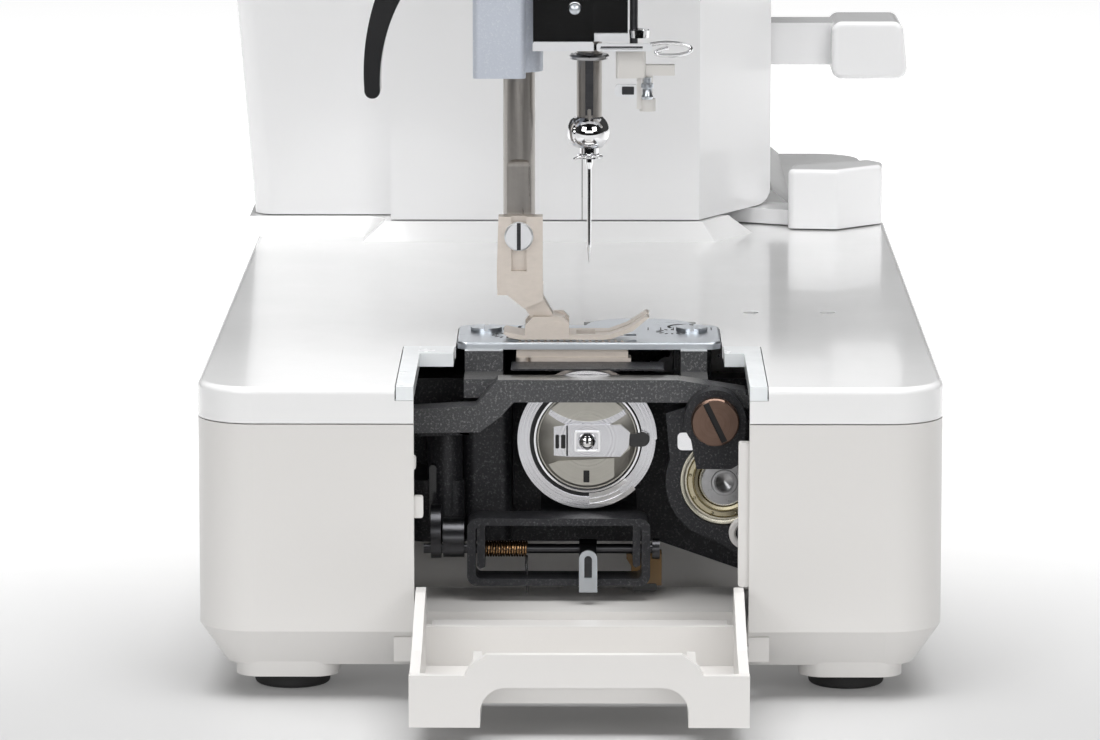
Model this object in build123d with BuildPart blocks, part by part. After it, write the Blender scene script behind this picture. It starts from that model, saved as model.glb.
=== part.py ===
"""Semi-industrial straight-stitch sewing machine: a lockstitch head on a deep bed.

Bed coordinates: x runs from the bed's left end towards the handwheel, y from the needle line
towards the back, z up from the table.  The row's origin is the middle of the whole footprint.
"""
from build123d import *
import math
import os

os.makedirs("parts", exist_ok=True)

# ---- where bed coordinates sit in the row frame ----
bed_left = -209.0
needle_line = -4.35

# ---- bed and base ----
bed_length = 450.0
base_width = 180.0
base_mid = 4.5
base_bottom = 8.0
crease_z = 17.4
bevel_in = 6.5
seam_z = 68.0
bed_top = 77.0
plan_radius = 14.0
wall = 3.0
seam_gap = 0.3

# ---- bobbin bay and its door ----
bay_front = -38.5
bay_rear = 42.0
bay_depth = 62.0
door_front = -37.1
door_rear = 41.4
door_underside = 8.1
door_end = -62.0
door_skin = 2.5
trim_z = 73.8                  # underside of the clear trim at the bay's edges
hinge_x, hinge_z = 3.45, 11.55
hinge_pin_r = 2.0

# ---- needle plate ----
plate_near = 62.5
plate_far = 91.0
plate_half = 33.0
plate_top = 78.0
plate_thickness = 1.8

# ---- arm, head and column ----
column_left = 256.0
column_right = 447.0
case_front = -52.5
case_seam = 2.0
case_rear = 56.3
case_bottom = 82.3
case_top = 305.0
arm_underside = 217.0
head_left = 38.0
head_right = 112.0
head_bottom = 182.0
chamfer_x, chamfer_y = 294.0, -31.2

# ---- shafts: (y, z) of each axis that runs along x ----
main_y, main_z = 0.0, 245.0
low_y, low_z = -33.5, 46.3
hook_y, hook_z = 0.4, 55.6
motor_y, motor_z = 64.0, 150.0
main_shaft_r = 6.0
low_shaft_r = 5.0
hook_shaft_r = 5.0
run = 0.05                     # radial clearance of a shaft in its bore

# ---- needle and presser bars ----
needle_x = 70.0
needle_bar_r = 3.175
presser_y = 17.5
presser_bar_r = 4.0
crank_throw = 15.0
rod_length = 40.0

# ---- pivots of the two levers on the operator's side ----
reverse_pivot = (366, 130)     # (x, z)
reverse_pin_r = 3.0
drop_lever_pivot = (296, -38)  # (x, y)
drop_pin_r = 2.5

# ---- the drop-feed shaft, along y ----
drop_x, drop_z = 45.0, 29.0
drop_r = 1.2


def level(z):
    """Plane facing up at height z; sketch coordinates are bed (x, y)."""
    return Plane(origin=(bed_left, needle_line, z))


def across(x):
    """Plane facing the handwheel at x; sketch coordinates are (y, z)."""
    return Plane(origin=(bed_left + x, needle_line, 0), x_dir=(0, 1, 0), z_dir=(1, 0, 0))


def lengthwise(y):
    """Plane facing the operator at y; sketch coordinates are (x, z)."""
    return Plane(origin=(bed_left, needle_line + y, 0), x_dir=(1, 0, 0), z_dir=(0, -1, 0))


def block(x, y, z, mode=Mode.ADD, corner=0.0):
    """A block between two corners, each of x, y and z a (low, high) pair."""
    with BuildSketch(level(z[0])) as footprint:
        with Locations(((x[0] + x[1]) / 2, (y[0] + y[1]) / 2)):
            if corner:
                RectangleRounded(x[1] - x[0], y[1] - y[0], corner)
            else:
                Rectangle(x[1] - x[0], y[1] - y[0])
    extrude(footprint.sketch, amount=z[1] - z[0], mode=mode)


def rod(plane, centre, radius, length, mode=Mode.ADD):
    """A round rod standing on a plane."""
    with BuildSketch(plane) as section:
        with Locations(centre):
            Circle(radius)
    extrude(section.sketch, amount=length, mode=mode)


def outline(plane, points, length, mode=Mode.ADD, round_corners=0.0):
    """A straight-sided outline pushed out from a plane."""
    with BuildSketch(plane) as section:
        with BuildLine():
            Polyline(*points, close=True)
        make_face()
        if round_corners:
            fillet(section.vertices(), round_corners)
    extrude(section.sketch, amount=length, mode=mode)


def footprint_rectangle(z, inset, radius):
    """The bed's plan outline at height z, drawn in from its edge by inset."""
    with BuildSketch(level(z)) as plan:
        with Locations((bed_length / 2, base_mid)):
            RectangleRounded(bed_length - 2 * inset, base_width - 2 * inset, radius)
    return plan.sketch


# ======================================================================= bed and base
foot_spots = [(24.0, 72.6), (24.0, -63.1), (426.0, 72.6), (426.0, -63.1)]
foot_r = 9.25
knee_x, knee_z, knee_r = 330.0, 42.0, 5.0

with BuildPart() as base_casing:
    extrude(footprint_rectangle(crease_z, 0, plan_radius), amount=seam_z - crease_z)
    loft([footprint_rectangle(base_bottom, bevel_in, plan_radius - bevel_in).face(),
          footprint_rectangle(crease_z, 0, plan_radius).face()])
    extrude(footprint_rectangle(base_bottom + wall, bevel_in + wall, plan_radius - bevel_in - wall),
            amount=seam_z - base_bottom, mode=Mode.SUBTRACT)
    extrude(footprint_rectangle(crease_z + 1, wall, plan_radius - wall),
            amount=seam_z - crease_z, mode=Mode.SUBTRACT)
    block((-1, wall + 0.5), (bay_front, bay_rear), (crease_z, seam_z + 1), Mode.SUBTRACT)
    for ear_y in ((bay_front, door_front + 3.6), (door_rear - 3.6, bay_rear)):
        block((-1, 12), ear_y, (base_bottom - 1, crease_z + 1), Mode.SUBTRACT)
    for lug_y in ((bay_front - 5, bay_front), (bay_rear, bay_rear + 5)):
        block((0.5, 8), lug_y, (base_bottom + wall - 1, 16))
        rod(lengthwise(lug_y[1]), (hinge_x, hinge_z), hinge_pin_r + 0.02, 5, Mode.SUBTRACT)
    # Sill across the floor of the bobbin bay.
    block((28, 58.4), (bay_front, bay_rear), (base_bottom + wall - 1, 16.5))
    for spot_x, spot_y in foot_spots:
        side = 1 if spot_y > 0 else -1
        block((spot_x - 18, spot_x + 18), sorted((spot_y - side * 12, spot_y + side * 13)),
              (5.0, base_bottom + wall), corner=6.0)
    # Knee-lift socket: a boss behind the operator's wall with a plain bore.
    inner_wall = base_mid - base_width / 2 + wall
    rod(lengthwise(inner_wall + 9), (knee_x, knee_z), knee_r + 3, 9.5)
    rod(lengthwise(inner_wall + 10), (knee_x, knee_z), knee_r, 15, Mode.SUBTRACT)
    # Window for the power rocker in the right-hand end.
    block((bed_length - wall - 1, bed_length + 1), (-52, -28), (37.4, 52.6), Mode.SUBTRACT)

with BuildPart() as rubber_feet:
    for spot in foot_spots:
        rod(level(0), spot, foot_r, 5.0)
    fillet(rubber_feet.edges().group_by(Axis.Z)[0], 1.0)

plinth_rim = 1.6
plinth_rise = case_bottom - bed_top - seam_gap
plinth_run = 6.0
column_plan = [(column_left, case_rear), (column_left, chamfer_y), (chamfer_x, case_front),
               (column_right, case_front), (column_right, 95.3), (267, 95.3), (267, case_rear)]

with BuildPart() as bed_cover:
    extrude(footprint_rectangle(seam_z + seam_gap, 0, plan_radius), amount=bed_top - seam_z - seam_gap)
    fillet(bed_cover.edges().group_by(Axis.Z)[-1], 1.6)
    with BuildSketch(level(bed_top)):
        with BuildLine():
            Polyline(*column_plan, close=True)
        make_face()
        offset(amount=plinth_rim + plinth_run, kind=Kind.INTERSECTION)
    extrude(amount=plinth_rise, taper=math.degrees(math.atan(plinth_run / plinth_rise)))
    block((bed_length, bed_length + 20), (-120, 140), (seam_z, case_bottom + 1), Mode.SUBTRACT)
    block((-10, bed_length + 20), (95.3 + plinth_rim, 140), (seam_z, case_bottom + 1), Mode.SUBTRACT)
    extrude(footprint_rectangle(seam_z, wall, plan_radius - wall), amount=bed_top - seam_z - wall,
            mode=Mode.SUBTRACT)
    block((-1, bay_depth), (bay_front, bay_rear), (seam_z, bed_top + 1), Mode.SUBTRACT)
    block((-1, bay_depth), (bay_front - 4.5, bay_rear + 4.5), (trim_z, bed_top + 1), Mode.SUBTRACT)
    block((bay_depth - 1, plate_far + 0.3), (-plate_half - 0.3, plate_half + 0.3),
          (seam_z, bed_top + 1), Mode.SUBTRACT)
    block((plate_far - 1, plate_far + 11.3), (-27.3, 1.3), (seam_z, bed_top + 1), Mode.SUBTRACT)
    block((306, 436), (-48.5, 86), (seam_z, case_bottom + 1), Mode.SUBTRACT)
    # Pocket in the plinth where the feed-drop lever swings, with its pin's seat.
    block((268, 322), (-70, -28), (bed_top, case_bottom + 1), Mode.SUBTRACT)
    rod(level(seam_z), drop_lever_pivot, drop_pin_r, 20, Mode.SUBTRACT)
    for guide_y in (-62.0, -42.0):
        rod(level(seam_z), (118.0, guide_y), 2.0, 20, Mode.SUBTRACT)

with BuildPart() as bay_trim:
    for edge_y, side in ((bay_rear, 1), (bay_front, -1)):
        block((0, bay_depth - 0.2), sorted((edge_y, edge_y + side * 4.2)), (trim_z + 0.1, bed_top + 0.2))
        block((bay_depth - 12, bay_depth - 0.2), sorted((edge_y, side * 33.6)),
              (trim_z + 0.1, bed_top + 0.2))

# ======================================================================= bobbin door, lying open
with BuildPart() as bobbin_door:
    block((door_end, -3.3), (door_front, door_rear), (door_underside, door_underside + door_skin))
    # End flange, which is the door's top edge when it is shut, with its arched middle.
    outline(across(door_end), [(door_front, door_underside), (door_front, 20.3), (-26.5, 20.3),
                               (-25, 22.8), (-21.5, 25.2), (23.5, 25.2), (27.2, 22.8), (28.6, 20.3),
                               (door_rear, 20.3), (door_rear, door_underside)], door_skin)
    # Side cheeks with rounded hinge ends.
    for cheek_y in (door_front + 2.4, door_rear):
        outline(lengthwise(cheek_y), [(door_end, door_underside), (door_end, 19.0), (-40, 21.5),
                                      (-9, 29.0), (-3, 29.0), (2.0, 17.5), (7.2, 11.5),
                                      (3.5, door_underside - 0.05)], 2.4)
    # Cross rib near the hinge and the finger cup's back wall.
    block((-7, -4.6), (door_front, door_rear), (door_underside, 20.2))
    block((-36.5, -34), (-25, 27), (door_underside, 17.5))
    for cup_y in ((-25, -23), (25, 27)):
        block((door_end, -34), cup_y, (door_underside, 20.0))
    with BuildSketch(across(door_end - 1)):
        with Locations((1, 5)):
            RectangleRounded(48, 25, 6)
    extrude(amount=26.5, mode=Mode.SUBTRACT)
    for cheek_y in (door_front - 1, door_rear - 3.4):
        rod(lengthwise(cheek_y + 4.4), (hinge_x, hinge_z), hinge_pin_r + run, 4.4, Mode.SUBTRACT)

with BuildPart() as pivot_pins:
    for pin_y in (bay_front + 4.5, bay_rear + 5):
        rod(lengthwise(pin_y), (hinge_x, hinge_z), hinge_pin_r, 9.0)
    rod(lengthwise(-43.0), reverse_pivot, reverse_pin_r, 6.4)
    rod(level(bed_top - 3), drop_lever_pivot, drop_pin_r, 8)

# ======================================================================= frame castings
floor_low, floor_high = 24.0, 29.0
with BuildPart() as bed_frame:
    block((80, 436), (-60, 70), (floor_low, floor_high))
    outline(across(80), [(70, floor_low), (70, 66), (-60, 66), (-60, 17), (-38, 17), (-18, floor_low)], 10)
    for rail_y in ((21.5, 31), (-31, -21.5)):
        block((80, plate_far), rail_y, (66, plate_top - plate_thickness))
    block((410, 430), (-45, 48), (floor_high, case_bottom + 3.7))
    block((150, 160), (-48, 20), (floor_high, 66))
    for leg in [(95, -50), (95, 60), (420, -50), (420, 60)]:
        rod(level(base_bottom + wall), leg, 6, floor_low - base_bottom - wall)
    rod(across(79), (hook_y, hook_z), hook_shaft_r + run, 90, Mode.SUBTRACT)
    rod(across(79), (low_y, low_z), low_shaft_r + run, 360, Mode.SUBTRACT)
    # Windows in the floor below the gear and the belt pulley.
    for window_x, window_y in (((117, 133), (-53, -14)), ((393, 409), (-54, -13))):
        block(window_x, window_y, (floor_low - 1, floor_high + 1), Mode.SUBTRACT)

bridge_near, bridge_far = 42.0, 49.6
with BuildPart() as bed_bridge:
    outline(across(bridge_near), [(-43, 68.2), (-38.7, 68.2), (-38.6, 69.3), (-22, 71.9), (22.5, 71.9),
                                  (28, 65.4), (47, 64.3), (47, 58.5), (27, 58.8), (22, 62.5),
                                  (18.5, 66.3), (-24, 66.3), (-43, 64.5)], bridge_far - bridge_near)
    for arm_y in ((21.5, 31), (-29.5, -22.9)):
        block((bridge_far - 1, 79.9), arm_y, (66.3, 71.0))
        block((60, 72), arm_y, (70, plate_top - plate_thickness))

post_bottom = 28.5
with BuildPart() as hook_post:
    block((58, 79.9), (19.2, 31.5), (post_bottom, 63), corner=3.0)
    block((56, 79.9), (31, 44), (post_bottom, 44), corner=3.0)
    rod(level(post_bottom), (60, 36), 4.5, 27)

clamp_near = 36.0
bracket_near, bracket_far = 42.5, 52.0
screw_y, screw_z = -31.0, 62.8
with BuildPart() as bearing_bracket:
    rod(across(bracket_near), (low_y, low_z), 14.5, bracket_far - bracket_near)
    outline(across(bracket_near), [(-47.5, 23), (-47.5, 47), (-38, 64.2), (-25, 65.4), (-19, 63.5),
                                   (-20.5, 47), (-24, 36.5), (-36.6, 28.2)], bracket_far - bracket_near)
    block((bracket_near, 79.9), (-47.5, -41), (23, 33))
    rod(across(clamp_near), (screw_y, screw_z), 7.6, 5.7)
    outline(across(clamp_near), [(-38, 52.5), (-38.5, 61), (-24.5, 61), (-26.5, 50.7), (-35, 50.7)], 5.7)
    block((41, 43), (-37, -26), (59.5, 65.5))
    rod(across(bracket_near - 1), (low_y, low_z), 11.0, 20, Mode.SUBTRACT)
    rod(across(clamp_near - 1), (screw_y, screw_z), 3.0, 10, Mode.SUBTRACT)

with BuildPart() as ball_bearing:
    rod(across(44), (low_y, low_z), 10.95, 7)
    rod(across(44), (low_y, low_z), 4.05, 7, Mode.SUBTRACT)
    with BuildSketch(across(44)):
        with Locations((low_y, low_z)):
            Circle(9.3)
            Circle(6.2, mode=Mode.SUBTRACT)
    extrude(amount=0.8, mode=Mode.SUBTRACT)

with BuildPart() as bracket_screw:
    rod(across(clamp_near - 3.0), (screw_y, screw_z), 5.9, 3.0)
    chamfer(bracket_screw.edges().group_by(Axis.X)[0], 0.5)
    rod(across(clamp_near), (screw_y, screw_z), 2.9, 5.0)
    with BuildSketch(across(clamp_near - 3.0)):
        with Locations(Location((screw_y, screw_z, 0), (0, 0, 119))):
            Rectangle(14, 1.1)
    extrude(amount=1.3, mode=Mode.SUBTRACT)

guide_near, guide_far = 63.0, 84.0
with BuildPart() as arm_frame:
    block((guide_far, 96), (-30, 46), (165, 299))
    block((guide_near, guide_far), (-14, 32), (170, 182))
    block((guide_near, guide_far), (-8, 32), (268, 275))
    block((96, 410), (-22, 26), (280, 294))
    block((410, 424), (-40, 28), (case_bottom + 3.8, 294))
    rod(across(66.5), (-24, 238), 2.5, 18)
    rod(across(95), (40, 172), 2.5, 13)
    rod(across(guide_far - 1), (main_y, main_z), main_shaft_r + run, 350, Mode.SUBTRACT)
    rod(level(160), (needle_x, 0), needle_bar_r + run, 120, Mode.SUBTRACT)
    rod(level(160), (needle_x, presser_y), presser_bar_r + run, 120, Mode.SUBTRACT)
    rod(level(160), (66, -11), 1.0 + run, 60, Mode.SUBTRACT)

# ======================================================================= needle plate and feed
dog_rows = [((64.0, 66.2), (-9.5, 18.0)), ((68.9, 71.1), (4.2, 15.5)), ((73.8, 76.0), (-9.5, 18.0))]
feed_travel = 2.0

with BuildPart() as needle_plate:
    block((plate_near, plate_far), (-plate_half, plate_half), (plate_top - plate_thickness, plate_top),
          corner=3.0)
    with BuildSketch(level(plate_top - plate_thickness)):
        with Locations((plate_far, -13)):
            SlotCenterToCenter(5.5, 22, rotation=90)
    extrude(amount=plate_thickness)
    fillet(needle_plate.edges().group_by(Axis.Z)[-1], 0.5)
    rod(level(70), (needle_x, 0), 1.1, 12, Mode.SUBTRACT)
    for row_x, row_y in dog_rows:
        block((row_x[0] - 0.4, row_x[1] + 0.4), (row_y[0] - feed_travel - 0.4, row_y[1] + feed_travel + 0.4),
              (70, 80), Mode.SUBTRACT)
    for screw in [(82.0, 26.0), (82.0, -26.0)]:
        rod(level(70), screw, 2.2, 12, Mode.SUBTRACT)

with BuildPart() as plate_screws:
    for screw in [(82.0, 26.0), (82.0, -26.0)]:
        rod(level(plate_top), screw, 4.0, 1.0)
        rod(level(plate_top - plate_thickness), screw, 2.0, plate_thickness)
        block((screw[0] - 5, screw[0] + 5), (screw[1] - 0.5, screw[1] + 0.5),
              (plate_top + 0.4, plate_top + 2), Mode.SUBTRACT)

tooth_pitch = 1.6
dog_base = 74.0
with BuildPart() as feed_dog:
    block((63.8, 76.3), (-9.8, 18.2), (dog_base, dog_base + 1.6))
    for row_x, row_y in dog_rows:
        teeth = int((row_y[1] - row_y[0]) / tooth_pitch)
        block(row_x, row_y, (dog_base + 1, 77.2))
        points = [(row_y[0], 77.0)]
        for tooth in range(teeth):
            start = row_y[0] + tooth * tooth_pitch
            points += [(start + 0.2, 77.2), (start + 1.3, 78.2)]
        points += [(row_y[0] + teeth * tooth_pitch, 77.0)]
        outline(across(row_x[0]), points, row_x[1] - row_x[0])
    block((67.6, 72.4), (-3.4, 3.4), (dog_base - 1, 80), Mode.SUBTRACT)

with BuildPart() as feed_bar:
    block((62.8, 68.0), (-10.5, 14.4), (70.9, dog_base))
    rod(level(70.9), (64.6, 16.6), 1.7, dog_base - 70.9)
    block((65.0, 78), (5.0, 17.9), (71.3, dog_base))
    block((76, 130), (8.0, 17.9), (71.3, 73.6))

# ======================================================================= rotary hook
hook_near = 51.0
with BuildPart() as hook_body:
    rod(across(hook_near), (hook_y, hook_z), 17.0, 7.0)
    rod(across(hook_near), (hook_y, hook_z), 14.2, 13.5)
    rod(across(hook_near), (hook_y, hook_z), 11.0, 17.9)
    rod(across(hook_near - 1), (hook_y, hook_z), 12.95, 13.0, Mode.SUBTRACT)
    with BuildSketch(across(hook_near)):
        with Locations((hook_y, hook_z)):
            Circle(15.6)
            Circle(14.6, mode=Mode.SUBTRACT)
    extrude(amount=3, mode=Mode.SUBTRACT)

with BuildPart() as hook_gib:
    with BuildSketch(across(hook_near - 1.0)):
        with Locations((hook_y, hook_z)):
            Circle(17.3)
            Circle(14.0, mode=Mode.SUBTRACT)
        with Locations((hook_y - 22, hook_z - 12)):
            Circle(13.0, mode=Mode.SUBTRACT)
    extrude(amount=1.0)

with BuildPart() as hook_shaft:
    rod(across(68.9), (hook_y, hook_z), 9.0, 3.0)
    rod(across(71.9), (hook_y, hook_z), hook_shaft_r, 90)
    with BuildSketch(across(118)):
        with Locations((hook_y, hook_z)):
            Circle(11.6)
            with PolarLocations(11.7, 16):
                Circle(0.8, mode=Mode.SUBTRACT)
    extrude(amount=14)

case_near = 50.0
with BuildPart() as bobbin_case:
    rod(across(case_near), (hook_y, hook_z), 12.4, 12.0)
    rod(across(case_near + 1.0), (hook_y, hook_z), 11.4, 12.0, Mode.SUBTRACT)
    block((case_near - 1, case_near + 0.6), (hook_y - 1.0, hook_y + 0.6), (hook_z - 12, hook_z - 8.5),
          Mode.SUBTRACT)
    block((case_near - 1, case_near + 2), (hook_y + 5.0, hook_y + 9.0), (hook_z - 2.6, hook_z + 2.6),
          Mode.SUBTRACT)
    rod(across(case_near - 2.4), (hook_y, hook_z), 2.2, 13.6)
    fillet(bobbin_case.edges().group_by(Axis.X)[0], 0.6)

with BuildPart() as case_latch:
    outline(across(case_near - 1.6), [(hook_y - 10.6, hook_z - 2.0), (hook_y - 8.5, hook_z - 4.0),
                                      (hook_y + 4.6, hook_z - 3.8), (hook_y + 4.6, hook_z - 2.3),
                                      (hook_y + 8.0, hook_z - 2.3), (hook_y + 8.0, hook_z + 2.3),
                                      (hook_y + 4.6, hook_z + 2.3), (hook_y + 4.6, hook_z + 3.8),
                                      (hook_y - 8.5, hook_z + 4.0), (hook_y - 10.6, hook_z + 2.0)], 1.3)
    rod(across(case_near - 3), (hook_y, hook_z), 2.75, 4, Mode.SUBTRACT)
    rod(level(hook_z - 2.2), (case_near + 0.6, hook_y + 7.2), 0.8, 4.4)
    block((case_near - 0.6, case_near + 0.6), (hook_y + 6.6, hook_y + 7.8), (hook_z - 2.2, hook_z + 2.2))

with BuildPart() as bobbin:
    for flange_x in (case_near + 2.0, case_near + 10.2):
        rod(across(flange_x), (hook_y, hook_z), 10.6, 0.9)
    rod(across(case_near + 2.0), (hook_y, hook_z), 4.0, 9.1)
    rod(across(case_near), (hook_y, hook_z), 2.6, 14, Mode.SUBTRACT)

# ======================================================================= drive train
with BuildPart() as lower_shaft:
    rod(across(41.8), (low_y, low_z), 5.6, 2.0)
    rod(across(43.8), (low_y, low_z), 4.0, 9.2)
    rod(across(53), (low_y, low_z), low_shaft_r, 375)
    rod(across(40), (low_y, low_z), 2.2, 3.6, Mode.SUBTRACT)

with BuildPart() as lower_gear:
    with BuildSketch(across(119)):
        with Locations((low_y, low_z)):
            Circle(23.5)
            with PolarLocations(23.6, 32):
                Circle(0.8, mode=Mode.SUBTRACT)
            Circle(low_shaft_r + run, mode=Mode.SUBTRACT)
    extrude(amount=12)

pulley_r = 15.5
belt_gap = 0.4
belt_thickness = 1.8
with BuildPart() as lower_pulley:
    rod(across(396), (low_y, low_z), pulley_r, 10)
    for rim_x in (395, 406):
        rod(across(rim_x), (low_y, low_z), pulley_r - 1, 1)
    rod(across(394), (low_y, low_z), low_shaft_r + run, 14, Mode.SUBTRACT)

belt_rise = math.degrees(math.atan2(main_z - low_z, main_y - low_y))
belt_span = math.hypot(main_z - low_z, main_y - low_y)
belt_mid = ((main_y + low_y) / 2, (main_z + low_z) / 2)
with BuildPart() as timing_belt:
    belt_in = 2 * (pulley_r + belt_gap)
    with BuildSketch(across(397)):
        with Locations(Location((*belt_mid, 0), (0, 0, belt_rise))):
            SlotCenterToCenter(belt_span, belt_in + 2 * belt_thickness)
            SlotCenterToCenter(belt_span, belt_in, mode=Mode.SUBTRACT)
    extrude(amount=8)

with BuildPart() as main_shaft:
    rod(across(81), (main_y, main_z), main_shaft_r, 393)
    rod(across(396), (main_y, main_z), pulley_r, 10)
    rod(across(428), (main_y, main_z), 36, 10)
    with BuildSketch(across(429.5)):
        with Locations((main_y, main_z)):
            Circle(37)
            Circle(34.5, mode=Mode.SUBTRACT)
    extrude(amount=7, mode=Mode.SUBTRACT)

with BuildPart() as crank:
    rod(across(77), (main_y, main_z), crank_throw + 5, 4)
    rod(across(74.2), (main_y, main_z + crank_throw), 3.0, 2.8)

with BuildPart() as connecting_rod:
    with BuildSketch(across(74.2)):
        with Locations((main_y, main_z + crank_throw)):
            Circle(5.2)
        with Locations((main_y, main_z + crank_throw - rod_length)):
            Circle(5.0)
        with Locations((main_y, main_z + crank_throw - rod_length / 2)):
            Rectangle(5, rod_length - 4)
        with Locations((main_y, main_z + crank_throw)):
            Circle(3.0 + run, mode=Mode.SUBTRACT)
        with Locations((main_y, main_z + crank_throw - rod_length)):
            Circle(2.4, mode=Mode.SUBTRACT)
    extrude(amount=2.4)

wheel_near, wheel_far, wheel_r = 452.0, 480.0, 36.0
with BuildPart() as handwheel:
    rod(across(wheel_near), (main_y, main_z), wheel_r, wheel_far - wheel_near)
    fillet(handwheel.edges().group_by(Axis.X)[0] + handwheel.edges().group_by(Axis.X)[-1], 5.0)
    rod(across(wheel_far - 6), (main_y, main_z), 22, 7, Mode.SUBTRACT)
    rod(across(wheel_near - 4.5), (main_y, main_z), 10, 5)
    with BuildSketch(across(wheel_near - 1)):
        with Locations((main_y, main_z)):
            with PolarLocations(wheel_r + 1.4, 36):
                Circle(2.2)
    extrude(amount=wheel_far - wheel_near + 2, mode=Mode.SUBTRACT)
    rod(across(wheel_near - 6), (main_y, main_z), main_shaft_r + run, 28, Mode.SUBTRACT)

with BuildPart() as motor:
    rod(across(330), (motor_y, motor_z), 29.5, 94)
    fillet(motor.edges().group_by(Axis.X)[0] + motor.edges().group_by(Axis.X)[-1], 3.0)
    block((340, 414), (motor_y - 34, motor_y - 20), (motor_z - 20, motor_z + 20))
    rod(across(424), (motor_y, motor_z), 8, 2)

with BuildPart() as motor_pulley:
    rod(across(428), (motor_y, motor_z), 9, 10)
    rod(across(426.4), (motor_y, motor_z), 2.5, 2)

# ======================================================================= needle and presser bars
needle_tip = 96.8
with BuildPart() as needle_bar:
    rod(level(134.0), (needle_x, 0), needle_bar_r, 165)
    rod(across(needle_x), (0, main_z + crank_throw - rod_length), 2.2, 3.8)

with BuildPart() as needle_clamp:
    with BuildSketch(lengthwise(0)):
        with BuildLine():
            Polyline((needle_x, 126.3), (needle_x + 3.2, 126.3))
            ThreePointArc((needle_x + 3.2, 126.3), (needle_x + 5.1, 130.2), (needle_x + 3.2, 134.0))
            Polyline((needle_x + 3.2, 134.0), (needle_x, 134.0), (needle_x, 126.3))
        make_face()
    revolve(axis=Axis((bed_left + needle_x, needle_line, 0), (0, 0, 1)))
    rod(level(124.6), (needle_x, 0), 2.4, 1.7)
    rod(level(123.6), (needle_x, 0), 3.1, 1.0)
    rod(level(120), (needle_x, 0), 1.05, 12, Mode.SUBTRACT)

with BuildPart() as needle:
    with BuildSketch(lengthwise(0)):
        with BuildLine():
            Polyline((needle_x, 131.5), (needle_x + 1.0, 131.5), (needle_x + 1.0, 122.5),
                     (needle_x + 0.62, 120.8), (needle_x + 0.5, 101.0), (needle_x + 0.36, 99.5),
                     (needle_x, needle_tip), close=True)
        make_face()
    revolve(axis=Axis((bed_left + needle_x, needle_line, 0), (0, 0, 1)))
    block((needle_x - 2, needle_x + 2), (-0.16, 0.16), (99.9, 101.6), Mode.SUBTRACT)

with BuildPart() as presser_bar:
    rod(level(92.0), (needle_x, presser_y), presser_bar_r, 200)
    block((needle_x - 5, needle_x - 2.6), (presser_y - 5, presser_y + 5), (91, 121.5), Mode.SUBTRACT)
    rod(lengthwise(presser_y + 5), (needle_x - 5, 121.5), 2.4, 10, Mode.SUBTRACT)
    rod(across(needle_x - 5), (presser_y, 104.9), 1.6, 7, Mode.SUBTRACT)

shank_near = 62.6
pin_y, pin_z, foot_pin_r = 8.0, 81.7, 1.3
with BuildPart() as foot_shank:
    outline(across(shank_near), [(11.6, 109.7), (11.6, 98), (11.6, 91.5), (23.0, 91.5), (23.0, 97),
                                 (22.6, 109.7)], 4.7)
    outline(across(66.8), [(11.5, 92), (11.5, 88.6), (9.0, 84.2), (6.0, 83.4), (5.8, 80.1),
                           (10.2, 80.0), (14.2, 83.2), (16.4, 86.4), (22.9, 91.9), (22.9, 92)], 6.4)
    block((shank_near, 66.9), (11.6, 22.9), (89.9, 91.9))
    outline(across(shank_near), [(11.6, 92), (11.5, 88.4), (16.3, 86.6), (22.9, 91.9)], 4.3)
    block((shank_near - 1, 64.2), (15.6, 19.4), (96, 111), Mode.SUBTRACT)
    rod(across(shank_near - 1), (presser_y, 104.9), 1.7, 8, Mode.SUBTRACT)
    rod(across(66), (pin_y, pin_z), foot_pin_r + run, 9, Mode.SUBTRACT)

with BuildPart() as foot_screw:
    rod(across(shank_near - 2.2), (presser_y, 104.9), 3.6, 2.2)
    chamfer(foot_screw.edges().group_by(Axis.X)[0], 0.4)
    rod(across(shank_near), (presser_y, 104.9), 1.55, 8)
    block((shank_near - 3, shank_near - 1.2), (presser_y - 0.5, presser_y + 0.5), (100, 110), Mode.SUBTRACT)

sole_bottom = 78.45
with BuildPart() as foot_sole:
    outline(across(64.2), [(21.4, 79.9), (20.9, 80.3), (17.0, 79.5), (-5.0, 79.6), (-9.5, 81.2),
                           (-14.4, 84.4), (-15.1, 84.1), (-11.0, 80.6), (-5.5, 78.6), (-4.0, sole_bottom),
                           (17.5, sole_bottom), (20.0, 78.9)], 11.6)
    for ear_x in (64.2, 73.6):
        outline(across(ear_x), [(5.0, 79.0), (5.0, 82.6), (6.5, 84.2), (14.0, 84.2), (16.0, 82.0), (16.0, 79.0)],
                2.2)
        rod(across(ear_x), (pin_y, pin_z), 1.3, 2.2)
    rod(across(64.0), (pin_y, pin_z), foot_pin_r, 12.0)
    block((68.8, 71.2), (-20, 3.2), (75, 90), Mode.SUBTRACT)
    block((66.6, 73.4), (-1.6, 3.2), (75, 90), Mode.SUBTRACT)

with BuildPart() as presser_bushing:
    block((61, 79), (15.8, 28.9), (144.4, 170), corner=1.5)
    rod(level(145.6), (needle_x, presser_y), 6.0, 24.4)
    rod(level(140), (needle_x, presser_y), presser_bar_r + run, 40, Mode.SUBTRACT)

guard_near = 57.0
with BuildPart() as needle_guard:
    block((guard_near, 62.6), (-1.0, 13.9), (151.9, 184))
    block((guard_near + 1.2, 64), (0.2, 12.7), (150, 185), Mode.SUBTRACT)
    block((guard_near + 2.2, guard_near + 3.4), (-9.5, -1.0), (154, 184))
    block((guard_near + 1.2, guard_near + 2.4), (-14, 13), (151.9, 153.3))
    rod(across(guard_near - 0.7), (3.6, 162.2), 1.6, 0.8)

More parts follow.
